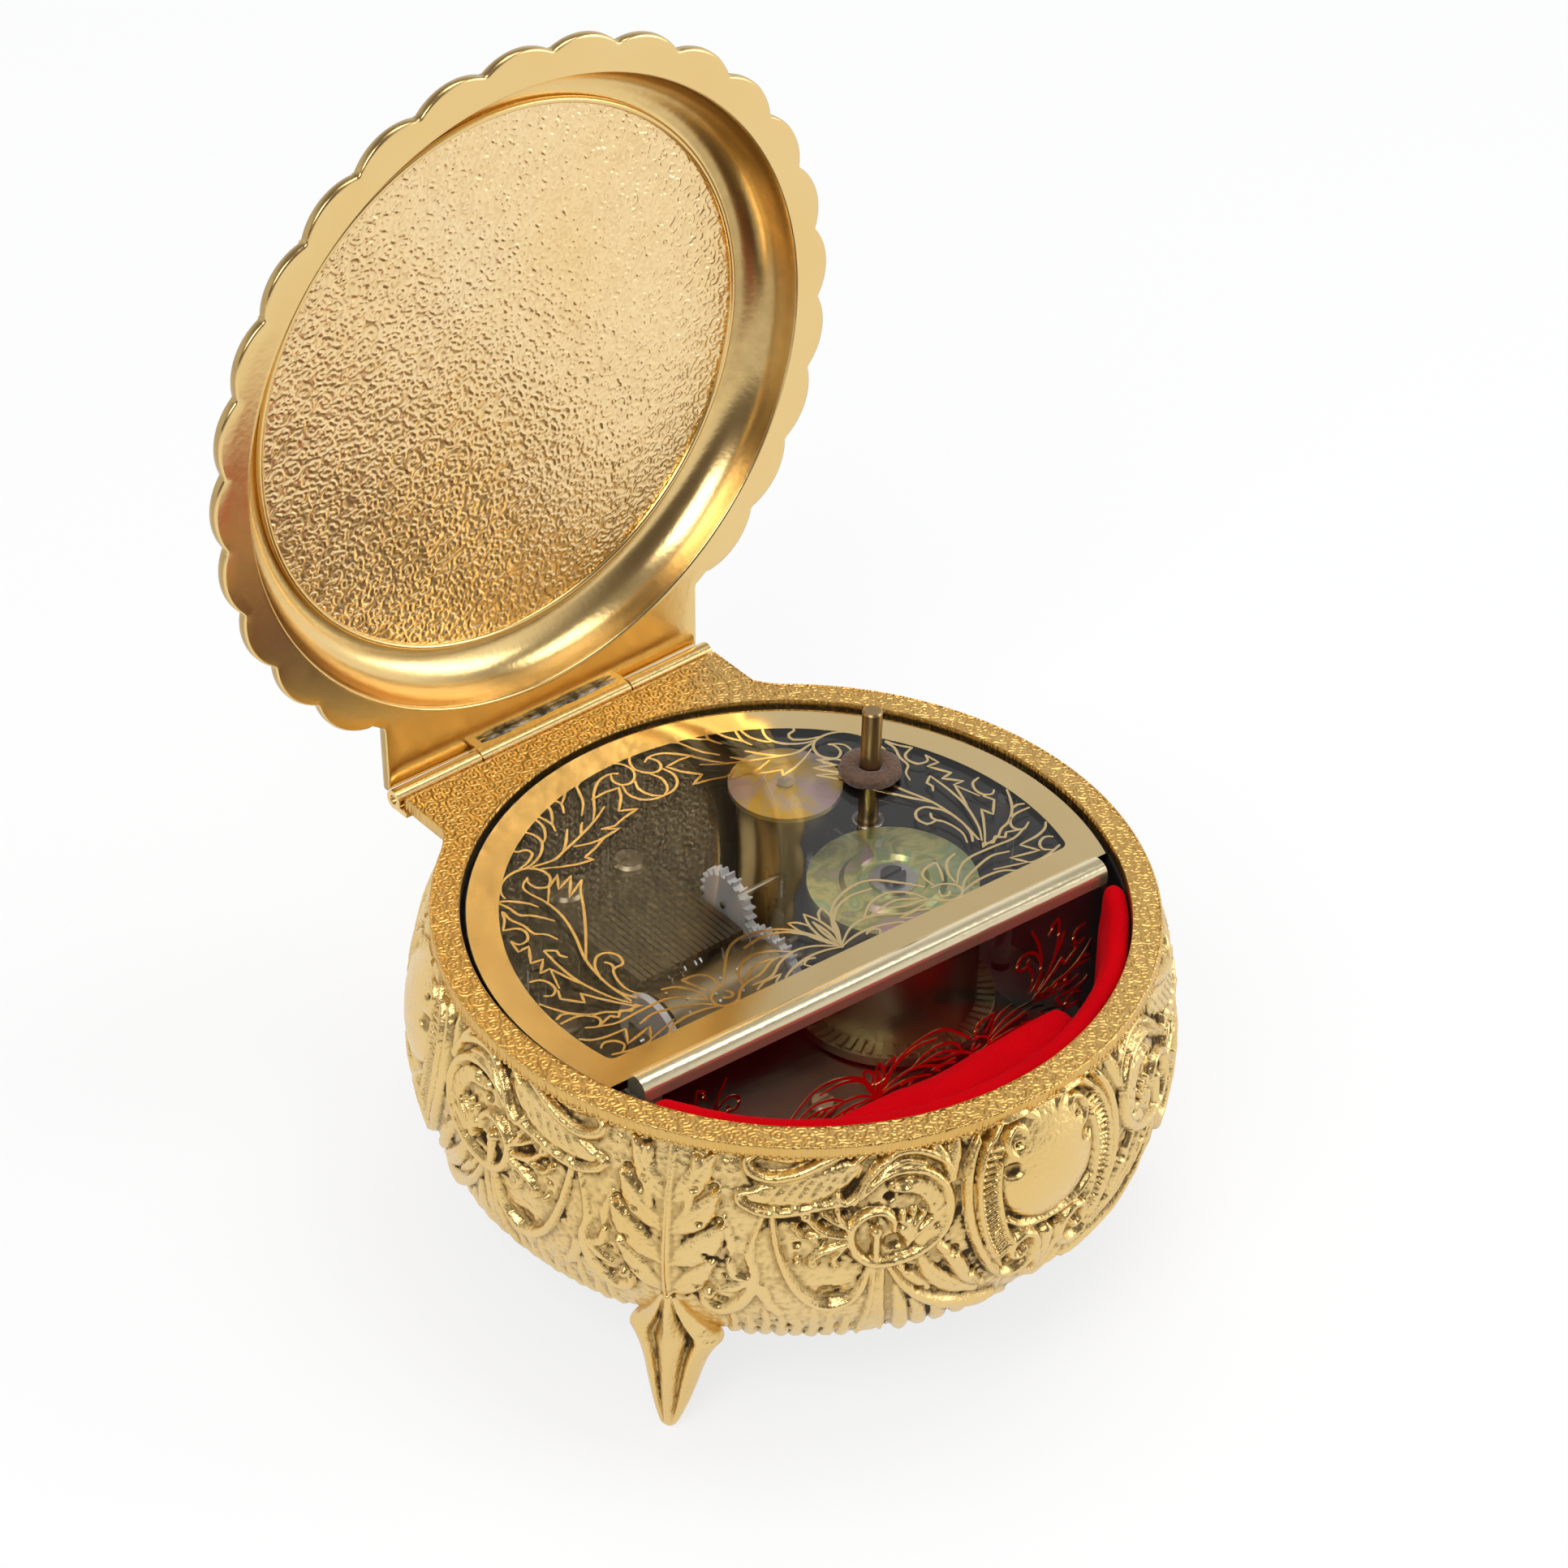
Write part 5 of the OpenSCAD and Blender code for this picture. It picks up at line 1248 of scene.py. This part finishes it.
# ---------------------------------------------------------------- bed and comb
# The movement stands on a dark plated steel bed. A hardened steel comb is held on a
# raised block by two slotted screws; steel stands carry the cylinder and the train.


def metal(name, low, high, rough, grain=300.0, stretch=(1, 1, 1)):
    """A plain metal whose colour and gloss drift a little, with marks along its grain."""
    wear = 0.12
    made, surface, add, place = finish_paint(name, rough)
    lay = add("ShaderNodeMapping", Vector=place, Scale=stretch).outputs[0]
    fine = noise(add, lay, grain, 5.0)
    give(surface, Base_Color=blend(add, noise(add, place, 95.0, 2.0), low, high),
         Roughness=scaled(add, fine, low=max(0.03, rough - wear), high=rough + wear),
         Normal=bumped(add, fine, 0.15, 0.0002))
    return made


dark_steel = metal("dark_plated_steel", (0.15, 0.12, 0.09), (0.24, 0.20, 0.155), 0.42)
plain_steel = metal("plain_steel", (0.50, 0.49, 0.47), (0.68, 0.67, 0.65), 0.3, stretch=(1, 1, 4))
comb_steel = metal("comb_steel", (0.115, 0.098, 0.080), (0.185, 0.160, 0.130), 0.42, 900.0, (1, 0.08, 1))
screw_zinc = metal("screw_zinc", (0.55, 0.44, 0.28), (0.72, 0.60, 0.42), 0.42, 700.0)
coat(dark_steel, "bed", "comb_base")
coat(comb_steel, "comb")
coat(screw_zinc, "comb_screws", "bed_screws")
coat(plain_steel, "cylinder_bearings", "train_bearings", "lever_bracket", "rod_guide")

# A hair-thin damper wire is bent under the tip of each comb tooth to keep it quiet.
tooth_count = 18
comb_low, comb_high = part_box("comb")
dampers = []
for k in range(tooth_count):
    x = comb_low[0] + (comb_high[0] - comb_low[0]) * (k + 0.5) / tooth_count
    y = comb_low[1] + 1.8 * MM
    z = comb_low[2] - 0.1 * MM
    dampers.append([(x, y, z), (x + 0.05 * MM, y - 0.4 * MM, z - 0.8 * MM), (x, y - 0.2 * MM, z - 1.3 * MM)])


def fine_wire(add, inputs):
    """Round wire along every line."""
    line = add("GeometryNodeMeshToCurve", Mesh=inputs["Geometry"])
    section = add("GeometryNodeCurvePrimitiveCircle", Radius=inputs["Wire radius"], Resolution=6)
    wire = add("GeometryNodeCurveToMesh", Curve=line.outputs[0], Profile_Curve=section.outputs[0],
               Fill_Caps=True)
    return wire.outputs[0]


sizes = {"Wire radius": 0.07 * MM}
wire_tree, wire_sockets = grow("fine_wire", fine_wire, sizes, plain_steel)
wires = grown_piece("comb_dampers", wire_tree, wire_sockets, sizes, line_mesh("damper_lines", dampers))
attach(wires, "case")

# ---------------------------------------------------------------- cylinder and train
# The brass cylinder carries steel pins. Its wheel, the two wheels of the next arbor
# and the fly are white moulded nylon, and so is the cap on the cylinder's free end.
brass = metal("cylinder_brass", (0.19, 0.145, 0.085), (0.30, 0.235, 0.14), 0.36, 1400.0, (1, 0.05, 0.05))
pin_steel = metal("pin_steel", (0.72, 0.71, 0.70), (0.85, 0.84, 0.83), 0.2)
nylon, surface, add, place = finish_paint("white_nylon", 0.42, 0.0)
cloud = noise(add, place, 120.0, 3.0)
give(surface, Base_Color=blend(add, cloud, (0.80, 0.80, 0.81), (0.90, 0.90, 0.90)),
     Subsurface_Weight=0.15, Subsurface_Scale=0.001, Roughness=scaled(add, cloud, low=0.34, high=0.5))
coat(brass, "cylinder", "cylinder_pinion")
coat(pin_steel, "cylinder_pins", "cylinder_arbor", "second_arbor", "hinge_pin")
coat(nylon, "cylinder_wheel", "second_wheel", "worm_wheel", "end_disc", "fly_blades")
coat(plain_steel, "fly_shaft")

# ---------------------------------------------------------------- governor
# The fly turns inside an olive plated can on a steel frame. A chromated cap, gone
# yellow, orange and pink, is riveted over its top.


def chromate(colours, name, scale, seed):
    """Chromate plating: thin colour drifts across the metal in soft clouds."""
    rough = 0.34
    made, surface, add, place = finish_paint(name, rough, 0.75)
    moved = add("ShaderNodeMapping", Vector=place, Location=(seed, seed * 0.7, 0)).outputs[0]
    cloud = noise(add, moved, scale, 4.0, Distortion=1.2)
    ramp = add("ShaderNodeValToRGB", Fac=cloud)
    stops = ramp.color_ramp.elements
    for k, (at, colour) in enumerate(colours):
        stop = stops[k] if k < 2 else stops.new(at)
        stop.position = at
        stop.color = (*colour, 1)
    give(surface, Base_Color=ramp.outputs["Color"],
         Roughness=scaled(add, cloud, low=rough - 0.1, high=rough + 0.12))
    return made


olive = metal("olive_plate", (0.11, 0.092, 0.055), (0.20, 0.165, 0.10), 0.36, 260.0, (1, 1, 0.2))
grey_rivet = metal("grey_rivet", (0.33, 0.31, 0.30), (0.45, 0.43, 0.42), 0.45)
cap_plate = chromate([(0.30, (0.60, 0.40, 0.48)), (0.72, (0.78, 0.36, 0.05)), (0.42, (0.58, 0.46, 0.40)),
                      (0.52, (0.74, 0.50, 0.10)), (0.62, (0.80, 0.46, 0.06))], "cap_chromate", 90.0, 0.31)
coat(olive, "governor_can")
coat(plain_steel, "governor_frame", "stop_lever")
coat(grey_rivet, "cap_rivet")
coat(cap_plate, "can_cap")

# ---------------------------------------------------------------- spring drum
# The mainspring is wound inside a drum with gear teeth round its foot. Its cover is
# clouded yellow-green chromate, round a dark arbor end and its washer.
drum_plate = chromate([(0.34, (0.66, 0.42, 0.40)), (0.68, (0.78, 0.76, 0.50)), (0.42, (0.44, 0.46, 0.18)),
                       (0.50, (0.76, 0.70, 0.28)), (0.58, (0.44, 0.56, 0.26))], "drum_chromate", 110.0, 0.57)
drum_steel = metal("drum_steel", (0.42, 0.36, 0.22), (0.56, 0.50, 0.32), 0.34, 400.0)
arbor_dark = metal("arbor_dark", (0.07, 0.065, 0.07), (0.14, 0.13, 0.13), 0.35)
coat(drum_plate, "drum_cover")
coat(drum_steel, "spring_drum")
coat(arbor_dark, "winding_arbor")
coat(plain_steel, "mainspring", "winding_key", "arbor_washer")

# ---------------------------------------------------------------- stop rod
# The brass stop rod comes up through the window; the closed lid pushes it down and
# stops the tune. A steel collar is pressed on it under the insert.
rod_brass = metal("rod_brass", (0.30, 0.20, 0.09), (0.46, 0.33, 0.16), 0.34, 800.0, (1, 1, 0.05))
coat(rod_brass, "stop_rod")
rod_x = 30.2
rod_y = 18.0
rod_place = np.array([rod_x, rod_y, 0])
around = np.linspace(0, 2 * math.pi, 96, endpoint=False)
collar_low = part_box("rod_collar")[0][2] / MM
collar_bore = 1.62
collar_r = 2.66
loops = [ring_at(r, collar_low + z, around) + rod_place
         for r, z in ((collar_bore, 0), (collar_r - 0.21, 0), (collar_r - 0.06, 0.04), (collar_r, 0.16),
                      (collar_r, 0.84), (collar_r - 0.06, 0.96), (collar_r - 0.21, 1), (collar_bore, 1))]
collar = shell("stop_collar", np.array(loops)[::-1], (pin_steel,), loop=True, ends=False)
face_outwards(collar)
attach(collar, "rod")
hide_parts("rod_collar")

# A wire spring between the guide and the collar lifts the rod again when the lid
# opens. It shortens by as much as the rod moves down.
spring_r = 2.15
spring_wire = 0.22
guide_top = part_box("rod_guide")[1][2] / MM
spring_high = collar_low - guide_top
turns = np.linspace(0, 7.5, 226)
climb = np.interp(turns, [0, 0.9, 6.6, 7.5], [0.28, 0.75, spring_high - 0.75, spring_high - 0.28])
coil = (ring_at(spring_r, guide_top + climb, turns * 2 * math.pi) + rod_place) * MM
sizes = {"Wire radius": spring_wire * MM}
spring = grown_piece("return_spring", wire_tree, wire_sockets, sizes, line_mesh("spring_line", [coil]))
spring.data.materials[0] = pin_steel
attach(spring, "case")
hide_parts("rod_spring")
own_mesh(spring)

# A washer of thick brown felt, glued on the window round the rod's hole, keeps the
# rod quiet. It is punched by hand, so its edge is soft and uneven.
felt, surface, add, place = finish_paint("brown_felt", 0.95, 0.0)
tuft = noise(add, place, 1700.0, 4.0)
give(surface, Base_Color=blend(add, tuft, (0.05, 0.025, 0.015), (0.20, 0.115, 0.075)),
     Sheen_Weight=0.25, Sheen_Roughness=0.5, Specular_IOR_Level=0.15,
     Normal=bumped(add, tuft, 0.8, 0.0004))
felt_z = face_z + 0.06
rng = np.random.default_rng(3)
wobble = sum(rng.uniform(0.03, 0.09) * np.cos(k * around + rng.uniform(0, 6)) for k in (2, 3, 5, 7))
loops = []
for r, z in ((1.75, 0.05), (2.6, 0.03), (4.2, 0.03), (4.62, 0.12), (4.8, 0.5), (4.82, 1.1), (4.66, 1.55),
             (4.2, 1.8), (3.3, 1.88), (2.5, 1.84), (1.95, 1.7), (1.72, 1.45), (1.70, 0.8)):
    rough_r = r + wobble * (r > 2.2) + rng.uniform(-0.05, 0.05, 96) * (r > 2.2)
    rough_z = z + rng.uniform(-0.05, 0.05, 96) * (z > 0.2) + 0.06 * np.cos(3 * around + 1) * (z > 1)
    loops.append(ring_at(rough_r, felt_z + rough_z, around) + rod_place)
washer = shell("felt_pad", np.array(loops)[::-1], (felt,), loop=True, ends=False)
face_outwards(washer)
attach(washer, "case")
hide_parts("felt_washer")

# ---------------------------------------------------------------- base plate
# A plain steel plate closes the case from below, held by three screws. The bed is
# screwed to it, and the key's stem passes through it.
base_steel = metal("base_steel", (0.34, 0.33, 0.31), (0.50, 0.48, 0.45), 0.38, 350.0, (1, 0.1, 1))
coat(base_steel, "base_plate")
coat(plain_steel, "base_screws")

# ---------------------------------------------------------------- studio
# A pale floor, soft even light and one camera above and to the left of the front.


def seen_plainly(add):
    """1 on rays from the camera, from a reflection or through the clear insert."""
    path = add("ShaderNodeLightPath").outputs
    straight = work_out(add, "MAXIMUM", path["Is Camera Ray"], path["Is Glossy Ray"])
    return work_out(add, "MAXIMUM", straight, path["Is Transmission Ray"])


floor_half = 4
corners = [(-floor_half, -floor_half, 0), (floor_half, -floor_half, 0), (floor_half, floor_half, 0),
           (-floor_half, floor_half, 0)]
floor_mesh = bpy.data.meshes.new("floor")
floor_mesh.from_pydata(corners, [], [(0, 1, 2, 3)])
floor = put("floor", floor_mesh)
paper = bpy.data.materials.new("floor_paper")
paper.use_nodes = True
add = adder(paper.node_tree)
surface = give(paper.node_tree.nodes["Principled BSDF"], Base_Color=(0.9, 0.9, 0.9, 1), Roughness=0.9,
               Specular_IOR_Level=0.0)
glow = add("ShaderNodeEmission", Strength=1.0)
share = work_out(add, "MULTIPLY", seen_plainly(add), 0.75)
mixed = add("ShaderNodeMixShader", share, surface.outputs[0], glow.outputs[0])
give(paper.node_tree.nodes["Material Output"], Surface=mixed.outputs[0])
floor_mesh.materials.append(paper)

world = bpy.data.worlds.new("studio")
bpy.context.scene.world = world
world.use_nodes = True
add = adder(world.node_tree)
soft = give(world.node_tree.nodes["Background"], Color=(0.95, 0.97, 1.0, 1), Strength=0.5)
way = add("ShaderNodeTexCoord").outputs["Generated"]
height = add("ShaderNodeSeparateXYZ", way).outputs["Z"]
shade = add("ShaderNodeValToRGB", Fac=height)
shade.color_ramp.interpolation = "EASE"
shade.color_ramp.elements[0].position = 0.28
shade.color_ramp.elements[0].color = (1, 1, 1, 1)
shade.color_ramp.elements[1].position = 0.85
shade.color_ramp.elements[1].color = (0.30, 0.29, 0.28, 1)
front = add("ShaderNodeVectorMath", way, (-0.66, -0.75, 0.12), operation="DOT_PRODUCT").outputs["Value"]
unlit = scaled(add, front, 0.25, 0.75, kind="SMOOTHSTEP")
above_floor = scaled(add, height, end=0.12)
room = work_out(add, "MULTIPLY", unlit, above_floor)
back = add("ShaderNodeBackground", Color=blend(add, room, shade.outputs["Color"], (0.12, 0.10, 0.09)))
mixed = add("ShaderNodeMixShader", seen_plainly(add), soft.outputs[0], back.outputs[0])
give(world.node_tree.nodes["World Output"], Surface=mixed.outputs[0])


def lamp(name, size, power, place, aim):
    """A soft rectangular lamp at a place, turned to an aim."""
    light = bpy.data.lights.new(name, "AREA")
    light.shape = "RECTANGLE"
    light.size, light.size_y = size
    light.energy = power
    made = put(name, light)
    made.location = place
    made.rotation_euler = (Vector(aim) - Vector(place)).to_track_quat("-Z", "Y").to_euler()


lamp("key_light", (0.6, 0.6), 5.5, (-0.75, -0.35, 0.95), (0, 0, 0.06))
lamp("top_light", (0.9, 0.5), 5.0, (0.25, 0.1, 1.15), (0, 0, 0.05))
lamp("side_light", (0.35, 0.8), 2.5, (0.8, -0.55, 0.45), (0, 0, 0.05))

view_turn, view_rise, view_roll = math.radians(-41.274), math.radians(37.77), math.radians(1.773)
view_distance = 0.77105
view_target = Vector((0.0170, 0.02295, 0.0575))
backward = Vector((math.sin(view_turn) * math.cos(view_rise), -math.cos(view_turn) * math.cos(view_rise),
                   math.sin(view_rise)))
right = Vector((math.cos(view_turn), math.sin(view_turn), 0))
upward = backward.cross(right)
across = math.cos(view_roll) * right + math.sin(view_roll) * upward
above = -math.sin(view_roll) * right + math.cos(view_roll) * upward
camera = put("camera", bpy.data.cameras.new("camera"))
camera.data.lens = 115.55
camera.data.sensor_width = 36
camera.data.clip_start = 0.05
camera.matrix_world = Matrix.Translation(view_target + backward * view_distance) @ Matrix(
    (across, above, backward)).transposed().to_4x4()
scene = bpy.context.scene
scene.camera = camera
scene.view_settings.view_transform = "Standard"
